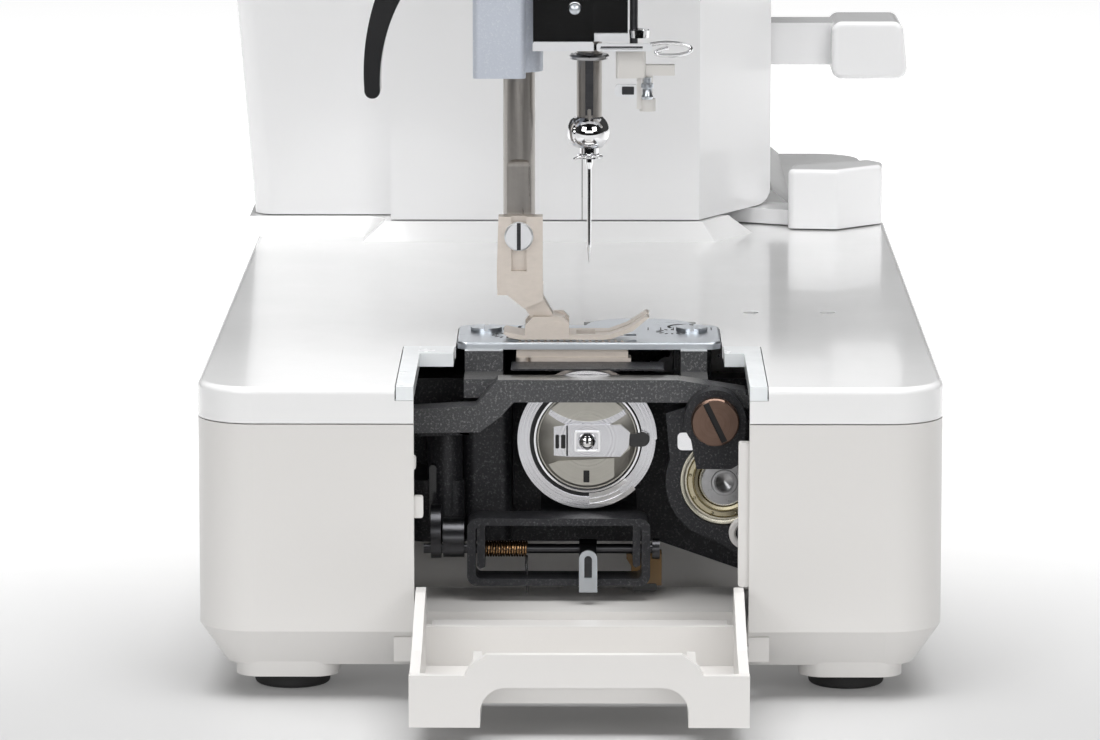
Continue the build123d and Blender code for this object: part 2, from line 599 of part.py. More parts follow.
with BuildPart() as threader_block:
    block((62, 69), (-14, -6.6), (144.4, 151.4), corner=0.8)
    block((63, 66), (-21.2, -13), (145.0, 147.6), corner=0.6)
    rod(level(136.2), (65.0, -14.5), 1.3, 9)
    rod(level(136.0), (65.0, -14.5), 2.0, 3.0)
    rod(level(151), (66, -11), 1.0, 80)

with BuildPart() as presser_lifter:
    with BuildSketch(across(96.3)):
        with BuildLine():
            Polyline((35.6, 172), (41.5, 166.5), (47.9, 160.6))
            ThreePointArc((47.9, 160.6), (52.0, 149.8), (53.2, 137.2))
            ThreePointArc((53.2, 137.2), (55.2, 135.3), (57.2, 137.4))
            ThreePointArc((57.2, 137.4), (57.0, 148.5), (54.4, 160.6))
            Polyline((54.4, 160.6), (50.5, 167.5), (44.6, 174), (40, 177), (35.6, 172))
        make_face()
        with Locations((40, 172)):
            Circle(2.5 + run, mode=Mode.SUBTRACT)
    extrude(amount=10)

with BuildPart() as take_up_lever:
    outline(across(67), [(-20, 236), (-26, 233), (-64, 262), (-71, 270), (-68, 275), (-62, 273),
                         (-26, 243.5), (-20, 242)], 4)
    rod(across(67), (-24, 238), 5.2, 4)
    rod(across(66), (-24, 238), 2.5 + run, 6, Mode.SUBTRACT)
    rod(across(66), (-66.5, 270.0), 1.5, 6, Mode.SUBTRACT)

# ======================================================================= drop-feed pivot in the bay
with BuildPart() as drop_bracket:
    with BuildSketch(across(40)):
        with Locations((7.45, drop_z)):
            RectangleRounded(45.3, 17.0, 2.6)
            RectangleRounded(41.1, 13.4, 1.4, mode=Mode.SUBTRACT)
    extrude(amount=10)
    block((49, 79.9), (-12, 12), (35.9, 37.4))
    rod(lengthwise(40), (drop_x, drop_z), drop_r + run, 70, Mode.SUBTRACT)

with BuildPart() as drop_shaft:
    rod(lengthwise(41), (drop_x, drop_z), drop_r, 58.6)
    rod(lengthwise(39.1), (drop_x, 33.4), 6.7, 2.5)
    rod(lengthwise(36.1), (drop_x, 31.8), 4.9, 5.2)
    rod(lengthwise(-15.8), (drop_x, drop_z), 2.6, 1.8)
    rod(lengthwise(2.4), (drop_x, drop_z), 2.4, 4.4)
    outline(lengthwise(2.3), [(36.6, 20.0), (36.6, 28.4), (44, 31.0), (45.5, 29.0), (38.6, 26.6),
                              (38.6, 20.0)], 4.2)

# ======================================================================= casings
sleeve = case_front + wall
front_plan = [(column_left, case_seam - 0.1), (column_left, chamfer_y), (chamfer_x, case_front),
              (column_right, case_front), (column_right, case_seam - 0.1)]
front_hollow = [(column_left + wall, case_seam + 1), (column_left + wall, chamfer_y + 1.7),
                (chamfer_x + 0.8, sleeve), (column_right - wall, sleeve), (column_right - wall, case_seam + 1)]
lever_slot_z = (98, 140)

with BuildPart() as front_casing:
    outline(level(case_bottom), front_plan, case_top - case_bottom)
    block((head_left, column_left + 60), (case_front, case_seam - 0.1), (arm_underside, case_top))
    block((head_left, head_right), (case_front, case_seam - 0.1), (head_bottom, arm_underside + 1))
    fillet(front_casing.faces().sort_by(Axis.Z)[-1].edges().sort_by(Axis.Y)[0], 8.0)
    fillet(front_casing.edges().filter_by(Axis.X).group_by(Axis.Y)[0].sort_by(Axis.Z)[0], 4.0)
    outline(level(case_bottom - 1), front_hollow, case_top - case_bottom - wall + 1, Mode.SUBTRACT)
    block((head_left - 1, column_left + 60), (sleeve, case_seam + 1), (arm_underside + wall, case_top - wall),
          Mode.SUBTRACT)
    block((head_left - 1, head_right - wall), (sleeve, case_seam + 1),
          (head_bottom + wall, arm_underside + wall + 1), Mode.SUBTRACT)
    block((54, head_right - wall), (-32, case_seam + 1), (head_bottom - 1, head_bottom + wall + 1), Mode.SUBTRACT)
    block((64.5, 73.5), (case_front - 1, sleeve + 1), (216, 272), Mode.SUBTRACT)
    block((300.5, 324.5), (case_front - 1, sleeve + 1), lever_slot_z, Mode.SUBTRACT)
    block((322, 368), (case_front - 1, sleeve + 1), (158, 164), Mode.SUBTRACT)
    rod(lengthwise(sleeve + 1), (95, 205), 6.3, 6, Mode.SUBTRACT)
    rod(across(column_right - 4), (main_y, main_z), 11, 6, Mode.SUBTRACT)
    rod(lengthwise(sleeve + 1), (385, 205), 4.05, 6, Mode.SUBTRACT)
    rod(lengthwise(sleeve + 1), (130, 245), 3.05, 6, Mode.SUBTRACT)
    rod(level(case_top - wall - 1), (400, -20), 3.05, 6, Mode.SUBTRACT)

with BuildPart() as rear_casing:
    block((column_left, column_right), (case_seam + 0.1, case_rear), (case_bottom, case_top))
    block((head_left, column_left + 60), (case_seam + 0.1, case_rear), (arm_underside, case_top))
    block((head_left, head_right), (case_seam + 0.1, case_rear), (head_bottom, arm_underside + 1))
    fillet(rear_casing.faces().sort_by(Axis.Z)[-1].edges().sort_by(Axis.Y)[-1], 8.0)
    block((column_left + wall, column_right - wall), (case_seam - 1, case_rear - wall),
          (case_bottom - 1, case_top - wall), Mode.SUBTRACT)
    block((head_left - 1, column_left + 60), (case_seam - 1, case_rear - wall),
          (arm_underside + wall, case_top - wall), Mode.SUBTRACT)
    block((head_left - 1, head_right - wall), (case_seam - 1, case_rear - wall),
          (head_bottom + wall, arm_underside + wall + 1), Mode.SUBTRACT)
    block((54, head_right - wall), (case_seam - 1, 50), (head_bottom - 1, head_bottom + wall + 1), Mode.SUBTRACT)
    block((322, 442), (case_rear - wall - 1, case_rear + 1), (108, 196), Mode.SUBTRACT)
    rod(across(column_right - 4), (main_y, main_z), 11, 6, Mode.SUBTRACT)
    for spool_x in (290, 345):
        rod(level(case_top - wall - 1), (spool_x, 34), 3.0, 6, Mode.SUBTRACT)

with BuildPart() as motor_cover:
    outline(across(267), [(case_rear + 0.2, case_bottom), (95.6, case_bottom), (101, 150), (101, 262),
                          (90, 286), (case_rear + 0.2, 290)], column_right - 267)
    fillet(motor_cover.faces().sort_by(Axis.X)[0].edges().filter_by(GeomType.LINE)
           .group_by(Axis.Y)[-1], 6.0)
    outline(across(267 + wall), [(case_rear - 1, case_bottom - 1), (92.5, case_bottom - 1), (97.9, 150.3),
                                 (97.9, 261), (88, 283), (case_rear - 1, 287)],
            column_right - 267 - 2 * wall, Mode.SUBTRACT)

with BuildPart() as face_cover:
    block((head_left - 8, head_left - 0.2), (case_front, case_rear), (head_bottom, case_top))
    fillet(face_cover.faces().sort_by(Axis.X)[0].edges(), 5.0)
    block((head_left - 5, head_left), (case_front + wall, case_rear - wall), (head_bottom + wall, case_top - wall),
          Mode.SUBTRACT)

# ======================================================================= controls
with BuildPart() as reverse_lever:
    outline(across(296), [(-70.2, 118.0), (-70.2, 134.6), (-90.6, 134.6), (-92.3, 118.0)], 28)
    fillet(reverse_lever.edges().filter_by(Axis.X), 3.0)
    fillet(reverse_lever.faces().sort_by(Axis.X)[0].edges(), 1.5)
    block((303, 320), (-72, -44.4), (121.5, 133.6))
    block((303, 366), (-48.4, -44.4), (125, 133.6))
    rod(lengthwise(-44.4), reverse_pivot, 8.0, 4.0)
    rod(lengthwise(-43), reverse_pivot, reverse_pin_r + run, 8, Mode.SUBTRACT)

with BuildPart() as feed_drop_lever:
    outline(level(bed_top + 0.5), [(273, -56.8), (271.5, -71), (284, -84.4), (291, -85), (297, -81),
                                   (284, -58.5)], 17.0, round_corners=2.0)
    fillet(feed_drop_lever.edges().group_by(Axis.Z)[-1], 1.5)
    outline(level(bed_top + 0.5), [(280, -58.5), (291, -73), (302.5, -38), (289.5, -38)], 4.3)
    rod(level(bed_top + 0.5), drop_lever_pivot, 6.5, 4.3)
    rod(level(bed_top), drop_lever_pivot, drop_pin_r + run, 12, Mode.SUBTRACT)

with BuildPart() as stitch_dial:
    rod(lengthwise(case_front - 0.3), (385, 205), 22, 12)
    fillet(stitch_dial.edges().group_by(Axis.Y)[0], 2.5)
    with BuildSketch(lengthwise(case_front - 3)):
        with Locations((385, 205)):
            with PolarLocations(22.8, 30):
                Circle(1.8)
    extrude(amount=12, mode=Mode.SUBTRACT)
    rod(lengthwise(sleeve + 2), (385, 205), 4.0, 6)

with BuildPart() as tension_dial:
    rod(lengthwise(case_front - 8), (130, 245), 12, 11)
    with BuildSketch(lengthwise(case_front - 9)):
        with Locations((130, 245)):
            with PolarLocations(12.6, 20):
                Circle(1.2)
    extrude(amount=11, mode=Mode.SUBTRACT)
    for disc_y in (3.0, 4.6, 6.2):
        rod(lengthwise(case_front - disc_y), (130, 245), 11.5, 0.9)
    rod(lengthwise(sleeve + 2), (130, 245), 3.0, 15)

with BuildPart() as speed_slider:
    block((339, 351), (case_front - 6, case_front - 0.4), (156.5, 165.5), corner=1.5)
    block((342, 348), (case_front - 1, sleeve + 2), (158.4, 163.6))

with BuildPart() as needle_button:
    rod(lengthwise(sleeve + 3), (95, 205), 6.0, 9)
    fillet(needle_button.edges().group_by(Axis.Y)[0], 0.8)

with BuildPart() as power_switch:
    outline(lengthwise(-29), [(445, 39), (445, 51), (450.5, 51), (449.2, 45), (452.0, 39)], 22)
    rod(lengthwise(-28.4), (446.5, 45), 1.5, 23.2)

with BuildPart() as winder_spindle:
    rod(level(case_top - wall - 4), (400, -20), 3.0, 27)
    rod(level(case_top + 0.2), (400, -20), 8.0, 2.2)

with BuildPart() as spool_pins:
    for spool_x in (290, 345):
        rod(level(case_top), (spool_x, 34), 3.0, 40)
        rod(level(case_top), (spool_x, 34), 11.0, 2.4)

pieces = {
    "base_casing": base_casing, "rubber_feet": rubber_feet, "bed_cover": bed_cover, "bay_trim": bay_trim,
    "bobbin_door": bobbin_door, "pivot_pins": pivot_pins, "bed_frame": bed_frame,
    "bed_bridge": bed_bridge, "hook_post": hook_post, "bearing_bracket": bearing_bracket,
    "ball_bearing": ball_bearing, "bracket_screw": bracket_screw, "arm_frame": arm_frame,
    "needle_plate": needle_plate, "plate_screws": plate_screws, "feed_dog": feed_dog,
    "feed_bar": feed_bar, "hook_body": hook_body, "hook_gib": hook_gib, "hook_shaft": hook_shaft,
    "bobbin_case": bobbin_case, "case_latch": case_latch, "bobbin": bobbin,
    "lower_shaft": lower_shaft, "lower_gear": lower_gear, "lower_pulley": lower_pulley,
    "timing_belt": timing_belt, "main_shaft": main_shaft, "crank": crank,
    "connecting_rod": connecting_rod, "handwheel": handwheel, "motor": motor,
    "motor_pulley": motor_pulley, "needle_bar": needle_bar, "needle_clamp": needle_clamp,
    "needle": needle, "presser_bar": presser_bar, "foot_shank": foot_shank, "foot_screw": foot_screw,
    "foot_sole": foot_sole, "presser_bushing": presser_bushing, "needle_guard": needle_guard,
    "threader_block": threader_block, "presser_lifter": presser_lifter,
    "take_up_lever": take_up_lever, "drop_bracket": drop_bracket, "drop_shaft": drop_shaft,
    "front_casing": front_casing, "rear_casing": rear_casing, "motor_cover": motor_cover,
    "face_cover": face_cover, "reverse_lever": reverse_lever, "feed_drop_lever": feed_drop_lever,
    "stitch_dial": stitch_dial, "tension_dial": tension_dial, "speed_slider": speed_slider,
    "needle_button": needle_button, "power_switch": power_switch, "spool_pins": spool_pins,
    "winder_spindle": winder_spindle,
}

for name, piece in pieces.items():
    piece.part.label = name
    export_step(piece.part, f"parts/{name}.step")
    box = piece.part.bounding_box()
    print(name, [round(v, 1) for v in (*box.min, *box.max)], round(piece.part.volume, 1))
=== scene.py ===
"""Looks of the straight-stitch sewing machine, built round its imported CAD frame.

Pieces are drawn in bed millimetres, as the CAD source draws them: x runs from the bed's left end,
y from the needle line towards the back, z up from the table.
"""

import math

import bmesh
import bpy
from mathutils import Matrix, Vector


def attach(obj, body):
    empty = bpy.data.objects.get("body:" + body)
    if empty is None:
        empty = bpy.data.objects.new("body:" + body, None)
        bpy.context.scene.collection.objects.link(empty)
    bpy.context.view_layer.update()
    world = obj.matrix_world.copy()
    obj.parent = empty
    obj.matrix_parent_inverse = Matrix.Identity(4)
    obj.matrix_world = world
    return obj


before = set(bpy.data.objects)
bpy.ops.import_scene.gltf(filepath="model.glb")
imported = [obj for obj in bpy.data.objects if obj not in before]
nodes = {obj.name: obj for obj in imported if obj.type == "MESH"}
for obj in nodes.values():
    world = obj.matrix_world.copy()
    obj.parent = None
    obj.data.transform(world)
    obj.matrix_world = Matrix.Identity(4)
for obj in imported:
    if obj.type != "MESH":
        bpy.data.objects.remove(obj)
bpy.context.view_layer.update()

bed_left_mm = -209.0
needle_line_mm = -4.35
bed_to_row = Matrix.Scale(0.001, 4) @ Matrix.Translation((bed_left_mm, needle_line_mm, 0.0))

# Centre lines that run along the bed, as bed millimetres (y, z).
hook_centre = (0.4, 55.6)
low_centre = (-33.5, 46.3)
screw_centre = (-31.0, 62.8)


# ======================================================================= materials
class Field:
    """A number that varies over a surface, and grows as arithmetic is written on it."""

    def __init__(self, look, socket):
        self.look = look
        self.socket = socket

    def sum_up(self, operation, first, second):
        node = self.look.node("ShaderNodeMath", {"operation": operation}, {0: first, 1: second})
        return Field(self.look, node.outputs[0])

    def __add__(self, other):
        return self.sum_up("ADD", self, other)

    def __radd__(self, other):
        return self.sum_up("ADD", other, self)

    def __sub__(self, other):
        return self.sum_up("SUBTRACT", self, other)

    def __rsub__(self, other):
        return self.sum_up("SUBTRACT", other, self)

    def __mul__(self, other):
        return self.sum_up("MULTIPLY", self, other)

    def __rmul__(self, other):
        return self.sum_up("MULTIPLY", other, self)

    def __truediv__(self, other):
        return self.sum_up("DIVIDE", self, other)

    def __rtruediv__(self, other):
        return self.sum_up("DIVIDE", other, self)

    def above(self, edge, softness):
        """0 below edge and 1 above it, with a soft step between."""
        node = self.look.node("ShaderNodeMapRange", {"interpolation_type": "SMOOTHSTEP"},
                              {"Value": self, "From Min": edge - softness, "From Max": edge + softness})
        return Field(self.look, node.outputs["Result"])


class Look:
    """One procedural material: a Principled surface and the nodes that feed it."""

    def __init__(self, name, **constants):
        self.material = bpy.data.materials.new(name)
        self.material.use_nodes = True
        tree = self.material.node_tree
        tree.nodes.clear()
        self.tree = tree
        self.surface = self.node("ShaderNodeBsdfPrincipled", {}, constants)
        self.node("ShaderNodeOutputMaterial", {}, {"Surface": self.surface.outputs[0]})
        where = self.node("ShaderNodeTexCoord")
        self.place = where.outputs["Object"]
        self.facing = where.outputs["Normal"]

    def node(self, kind, settings=None, inputs=None):
        """Adds a node, with its settings and what goes into each input: a value, a socket or a Field."""
        made = self.tree.nodes.new(kind)
        for name, value in (settings or {}).items():
            setattr(made, name, value)
        for name, value in (inputs or {}).items():
            socket = made.inputs[name.replace("_", " ") if isinstance(name, str) else name]
            source = value.socket if isinstance(value, Field) else value
            if isinstance(source, bpy.types.NodeSocket):
                self.tree.links.new(source, socket)
            else:
                socket.default_value = source
        return made

    def feed(self, name, value):
        """Sends a varying value into one of the surface's inputs."""
        source = value.socket if isinstance(value, Field) else value
        self.tree.links.new(source, self.surface.inputs[name])

    def part(self, socket, axis):
        """One coordinate of a vector."""
        node = self.node("ShaderNodeSeparateXYZ", {}, {0: socket})
        return Field(self, node.outputs[axis])

    def stretched(self, along):
        """The place on the object, scaled by a different factor each way."""
        node = self.node("ShaderNodeVectorMath", {"operation": "MULTIPLY"}, {0: self.place, 1: along})
        return node.outputs[0]

    def cloud(self, scale, detail=3.0, along=(1.0, 1.0, 1.0), roughness=0.55):
        """Soft noise from 0 to 1."""
        node = self.node("ShaderNodeTexNoise", {}, {"Vector": self.stretched(along), "Scale": scale,
                                                    "Detail": detail, "Roughness": roughness})
        return Field(self, node.outputs["Fac"])

    def blend(self, amount, first, second):
        """A colour between two colours."""
        node = self.node("ShaderNodeMix", {"data_type": "RGBA"}, {0: amount, 6: first, 7: second})
        return node.outputs[2]

    def relief(self, height, distance, strength=1.0):
        """Fine relief of the surface, as a bump."""
        node = self.node("ShaderNodeBump", {}, {"Height": height, "Distance": distance,
                                                "Strength": strength})
        self.feed("Normal", node.outputs[0])


def moulded_plastic(name, light, dark, roughness, coat, grain):
    """Moulded plastic: faint cloudiness, slightly uneven gloss and a fine moulded skin."""
    look = Look(name, Metallic=0.0, IOR=1.5, Coat_Weight=coat, Coat_Roughness=0.06)
    cloud = look.cloud(9.0)
    look.feed("Base Color", look.blend(cloud, (*dark, 1.0), (*light, 1.0)))
    look.feed("Roughness", look.cloud(40.0) * 0.08 + (roughness - 0.04))
    look.relief(look.cloud(grain, detail=2.0), 0.00005, 0.25)
    return look.material


def milky_plastic():
    """Half-clear plastic of the bay's trim, cloudy and slightly blue."""
    look = Look("trim_milky", Metallic=0.0, IOR=1.46, Transmission_Weight=0.05, Coat_Weight=0.3)
    look.feed("Base Color",
              look.blend(look.cloud(60.0), (0.84, 0.88, 0.90, 1.0), (0.94, 0.96, 0.97, 1.0)))
    look.feed("Roughness", look.cloud(120.0) * 0.18 + 0.16)
    look.relief(look.cloud(300.0), 0.0001, 0.3)
    return look.material


def cast_metal(name, dark, light, machined_and_lit_above=None):
    """Dark grained casting, with pale speckle. Faces that look up above a height are painted bright: partly
    machined metal, partly a painted highlight of their lit tops.
    """
    look = Look(name, Metallic=0.35)
    grain = look.cloud(1700.0, detail=4.0, roughness=0.75)
    colour = look.blend(grain.above(0.6, 0.08), (*dark, 1.0), (*light, 1.0))
    roughness = look.cloud(350.0) * 0.2 + 0.3
    if machined_and_lit_above is not None:
        # ground: up-facing faces above the height, painted pale and glossy both as machined metal and as a
        # painted highlight of the lit top.
        ground = (look.part(look.facing, 2).above(0.75, 0.1)
                  * look.part(look.place, 2).above(machined_and_lit_above, 0.0006))
        scratches = look.cloud(60.0, along=(30.0, 1.0, 1.0))
        colour = look.blend(ground, colour, (0.66, 0.65, 0.63, 1.0))
        roughness = roughness * (1.0 - ground) + ground * (scratches * 0.2 + 0.2)
        look.feed("Metallic", ground * 0.6 + 0.35)
    look.feed("Base Color", colour)
    look.feed("Roughness", roughness)
    look.relief(grain, 0.00012, 0.5)
    return look.material


def plated_metal(name, light, dark, roughness, spread, along, scale=120.0, relief=0.2, metallic=1.0):
    """Plated, ground or drawn metal: streaks along one direction, in colour, gloss and relief."""
    look = Look(name, Metallic=metallic)
    streaks = look.cloud(scale, detail=4.0, along=along, roughness=0.6)
    spots = look.cloud(700.0)
    look.feed("Base Color", look.blend(streaks * 0.7 + spots * 0.3, (*dark, 1.0), (*light, 1.0)))
    look.feed("Roughness", streaks * spread + (roughness - spread / 2))
    look.relief(streaks, 0.00006, relief)
    return look.material


def turned_metal(name, light, dark, roughness, axis_y, axis_z):
    """Metal turned about an axis along x: fine rings round it."""
    look = Look(name, Metallic=1.0)
    across_y = look.part(look.place, 1) - axis_y
    across_z = look.part(look.place, 2) - axis_z
    radius = look.node("ShaderNodeMath", {"operation": "SQRT"},
                       {0: across_y * across_y + across_z * across_z})
    rings = look.node("ShaderNodeTexNoise", {"noise_dimensions": "1D"},
                      {"W": Field(look, radius.outputs[0]) * 2200.0, "Detail": 2.0, "Scale": 1.0})
    ring = Field(look, rings.outputs["Fac"])
    look.feed("Base Color", look.blend(ring * 0.6 + look.cloud(500.0) * 0.4, (*dark, 1.0), (*light, 1.0)))
    look.feed("Roughness", ring * 0.14 + roughness)
    look.relief(ring, 0.00005, 0.35)
    return look.material


def axis_in_row(centre):
    """A centre line's bed millimetres (y, z) as row metres."""
    return (needle_line_mm + centre[0]) / 1000, centre[1] / 1000


gloss_white = moulded_plastic("casing_gloss_white", (0.90, 0.90, 0.905), (0.87, 0.87, 0.875), 0.2, 0.35,
                              900.0)
warm_white = moulded_plastic("base_warm_white", (0.74, 0.725, 0.71), (0.70, 0.685, 0.665), 0.36, 0.1,
                             1200.0)
beige = moulded_plastic("threader_beige", (0.80, 0.78, 0.75), (0.74, 0.72, 0.69), 0.42, 0.0, 1500.0)
black = moulded_plastic("lever_black", (0.02, 0.02, 0.022), (0.012, 0.012, 0.013), 0.22, 0.3, 900.0)
rubber = moulded_plastic("foot_rubber", (0.03, 0.03, 0.031), (0.018, 0.018, 0.018), 0.7, 0.0, 1800.0)
milky = milky_plastic()
casting = cast_metal("frame_casting", (0.02, 0.0205, 0.024), (0.10, 0.10, 0.105))
bridge_casting = cast_metal("bridge_casting", (0.07, 0.071, 0.075), (0.24, 0.24, 0.245), 0.0713)
bushing_grey = cast_metal("bushing_grey_blue", (0.60, 0.64, 0.72), (0.70, 0.74, 0.80))
nickel = plated_metal("foot_nickel", (0.84, 0.76, 0.69), (0.66, 0.60, 0.54), 0.42, 0.14, (1.0, 1.0, 3.0),
                      300.0, metallic=0.7)
bright_edge = plated_metal("edge_bright", (0.90, 0.91, 0.93), (0.78, 0.79, 0.81), 0.4, 0.1,
                           (1.0, 1.0, 1.0), 200.0, metallic=0.7)
# A slightly darker copy of the casing's gloss white for the bed cover: painted shade that darkens the
# cover's front band.
shaded_cover_white = moulded_plastic("cover_white_painted_shade", (0.86, 0.86, 0.86), (0.83, 0.83, 0.83), 0.2, 0.35,
                              900.0)
case_shade = plated_metal("case_shaded", (0.36, 0.35, 0.32), (0.22, 0.21, 0.19), 0.3, 0.1,
                          (1.0, 1.0, 1.0), 200.0)
chrome = plated_metal("guard_chrome", (0.92, 0.92, 0.93), (0.86, 0.86, 0.88), 0.07, 0.03, (1.0, 1.0, 1.0),
                      60.0, 0.05)
plate_satin = plated_metal("plate_satin_steel", (0.74, 0.78, 0.82), (0.60, 0.64, 0.69), 0.3, 0.14,
                           (18.0, 1.0, 1.0), 60.0)
bar_steel = plated_metal("bar_ground_steel", (0.46, 0.435, 0.41), (0.28, 0.265, 0.25), 0.3, 0.16,
                         (22.0, 22.0, 1.0), 40.0, 0.3)
shaft_steel = plated_metal("shaft_ground_steel", (0.55, 0.55, 0.56), (0.36, 0.36, 0.37), 0.3, 0.16,
                           (1.0, 16.0, 16.0), 40.0, 0.3)
# Black steel of the drop shaft and guide rod; also painted shade in the slots of the needle bar, the foot
# screw and the threader hook.
black_steel_and_slot_shade = plated_metal("shaft_steel_black_and_slot_shade", (0.10, 0.10, 0.105), (0.045, 0.045, 0.05), 0.3, 0.12,
                           (20.0, 1.0, 20.0), 60.0)
bearing_race = turned_metal("bearing_race", (0.80, 0.77, 0.66), (0.50, 0.47, 0.38), 0.14,
                            *axis_in_row(low_centre))
hook_polished = turned_metal("hook_polished", (0.86, 0.86, 0.88), (0.66, 0.66, 0.70), 0.12,
                             *axis_in_row(hook_centre))
case_satin = turned_metal("case_satin", (0.58, 0.565, 0.515), (0.44, 0.425, 0.385), 0.24,
                          *axis_in_row(hook_centre))
bronze = turned_metal("screw_bronze", (0.25, 0.165, 0.13), (0.13, 0.085, 0.065), 0.3,
                      *axis_in_row(screw_centre))
spring_bronze = plated_metal("spring_bronze", (0.50, 0.30, 0.15), (0.24, 0.14, 0.07), 0.25, 0.1,
                             (1.0, 1.0, 1.0), 200.0)
amber = moulded_plastic("block_amber", (0.30, 0.17, 0.05), (0.20, 0.11, 0.03), 0.35, 0.2, 900.0)
brass = plated_metal("shield_brass", (0.66, 0.60, 0.44), (0.46, 0.41, 0.28), 0.22, 0.1, (1.0, 1.0, 1.0),
                     260.0)
# Near-black: the own colour of printed marks on the needle plate and stitch dial, and painted shade in
# slots, gaps, recesses and vents.
print_and_shade_black = moulded_plastic("print_black_and_painted_shade", (0.012, 0.012, 0.013), (0.006, 0.006, 0.007), 0.6, 0.0, 900.0)

looks = {
    shaded_cover_white: ["bed_cover"],
    gloss_white: ["front_casing", "rear_casing", "motor_cover", "face_cover", "reverse_lever",
                  "feed_drop_lever", "stitch_dial", "handwheel"],
    warm_white: ["base_casing", "bobbin_door"],
    milky: ["bay_trim"],
    beige: ["threader_block", "needle_button", "speed_slider"],
    black: ["presser_lifter", "power_switch", "tension_dial", "spool_pins"],
    rubber: ["rubber_feet", "timing_belt"],
    casting: ["bed_frame", "hook_post", "bearing_bracket", "arm_frame", "drop_bracket", "motor"],
    bridge_casting: ["bed_bridge"],
    bushing_grey: ["presser_bushing"],
    nickel: ["foot_shank", "foot_sole", "feed_bar", "feed_dog"],
    case_satin: ["bobbin_case", "case_latch"],
    chrome: ["needle_guard", "needle_clamp", "take_up_lever", "winder_spindle", "needle"],
    plate_satin: ["needle_plate", "plate_screws"],
    bright_edge: ["foot_screw"],
    bar_steel: ["presser_bar", "needle_bar"],
    shaft_steel: ["hook_shaft", "lower_shaft", "main_shaft", "crank", "connecting_rod", "pivot_pins",
                  "lower_gear", "lower_pulley", "motor_pulley", "bobbin"],
    black_steel_and_slot_shade: ["drop_shaft"],
    hook_polished: ["hook_body", "hook_gib"],
    bearing_race: ["ball_bearing"],
    bronze: ["bracket_screw"],
}
for finish, names in looks.items():
    for name in names:
        for material_slot in nodes[name].material_slots:
            material_slot.material = finish

# ======================================================================= making pieces
def finish_piece(shape, name, finish, body, edge=0.0):
    """Turns a shape drawn in bed millimetres into a piece on a body. edge rounds its sharp edges."""
    if edge:
        sharp = [line for line in shape.edges
                 if len(line.link_faces) == 2 and line.calc_face_angle() > 0.5]
        bmesh.ops.bevel(shape, geom=sharp, offset=edge, segments=2, profile=0.6, affect="EDGES",
                        clamp_overlap=True)
    bmesh.ops.recalc_face_normals(shape, faces=shape.faces)
    mesh = bpy.data.meshes.new(name)
    shape.to_mesh(mesh)
    shape.free()
    mesh.transform(bed_to_row)
    mesh.materials.clear()
    mesh.materials.append(finish)
    mesh.polygons.foreach_set("use_smooth", [True] * len(mesh.polygons))
    mesh.set_sharp_from_angle(angle=math.radians(38.0))
    piece = bpy.data.objects.new(name, mesh)
    bpy.context.scene.collection.objects.link(piece)
    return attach(piece, body)


# Where a drawn point (a, b) lies when its outline is pushed a distance c along each axis.
place_along = {"x": lambda a, b, c: (c, a, b), "y": lambda a, b, c: (a, c, b), "z": lambda a, b,
               c: (a, b, c)}


def slab(points, start, depth, axis="x"):
    """A closed outline pushed along an axis: its points are (y, z) for x, (x, z) for y and (x, y) for z."""
    place = place_along[axis]
    shape = bmesh.new()
    near = [shape.verts.new(place(a, b, start)) for a, b in points]
    far = [shape.verts.new(place(a, b, start + depth)) for a, b in points]
    shape.faces.new(near)
    shape.faces.new(reversed(far))
    for index in range(len(points)):
        after = (index + 1) % len(points)
        shape.faces.new((near[index], far[index], far[after], near[after]))
    return shape


def ring_slab(outer, inner, start, depth, axis="x"):
    """A frame between two outlines that have the same number of points."""
    place = place_along[axis]
    shape = bmesh.new()
    loops = [[shape.verts.new(place(a, b, at)) for a, b in line]
             for line, at in ((outer, start), (outer, start + depth), (inner, start + depth),
                              (inner, start))]
    for index in range(len(outer)):
        after = (index + 1) % len(outer)
        for loop in range(4):
            beside = loops[(loop + 1) % 4]
            shape.faces.new((loops[loop][index], loops[loop][after], beside[after], beside[index]))
    return shape


def arc(centre, radius, start, end, steps=16):
    """Points on a circle, from one angle to another in degrees."""
    return [(centre[0] + radius * math.cos(math.radians(start + (end - start) * step / steps)),
             centre[1] + radius * math.sin(math.radians(start + (end - start) * step / steps)))
            for step in range(steps + 1)]


def rounded(centre, width, height, corner):
    """The outline of a rectangle with round corners."""
    points = []
    for turn, (side_a, side_b) in enumerate(((1, 1), (-1, 1), (-1, -1), (1, -1))):
        middle = (centre[0] + side_a * (width / 2 - corner), centre[1] + side_b * (height / 2 - corner))
        points += arc(middle, corner, 90 * turn, 90 * turn + 90, 5)
    return points


def band(centre, inner, outer, start, end, steps=40):
    """The outline of a stretch of ring."""
    return arc(centre, outer, start, end, steps) + arc(centre, inner, end, start, steps)


def turned(profile, centre, axis="x", steps=64):
    """A shape turned about a line: profile lists (place along the line, radius), and closes on itself."""
    shape = bmesh.new()
    rings = []
    for along, radius in profile:
        ring = []
        for step in range(steps if radius else 1):
            angle = 2 * math.pi * step / steps
            a, b = centre[0] + radius * math.cos(angle), centre[1] + radius * math.sin(angle)
            ring.append(shape.verts.new({"x": (along, a, b), "y": (a, along, b),
                                         "z": (a, b, along)}[axis]))
        rings.append(ring)
    pairs = list(zip(rings, rings[1:]))
    if profile[0][1] and profile[-1][1]:
        pairs.append((rings[-1], rings[0]))
    for first, second in pairs:
        for step in range(steps):
            after = (step + 1) % steps
            corners = ([first[0]] if len(first) == 1 else [first[step], first[after]])
            corners += [second[0]] if len(second) == 1 else [second[after], second[step]]
            shape.faces.new(corners)
    return shape


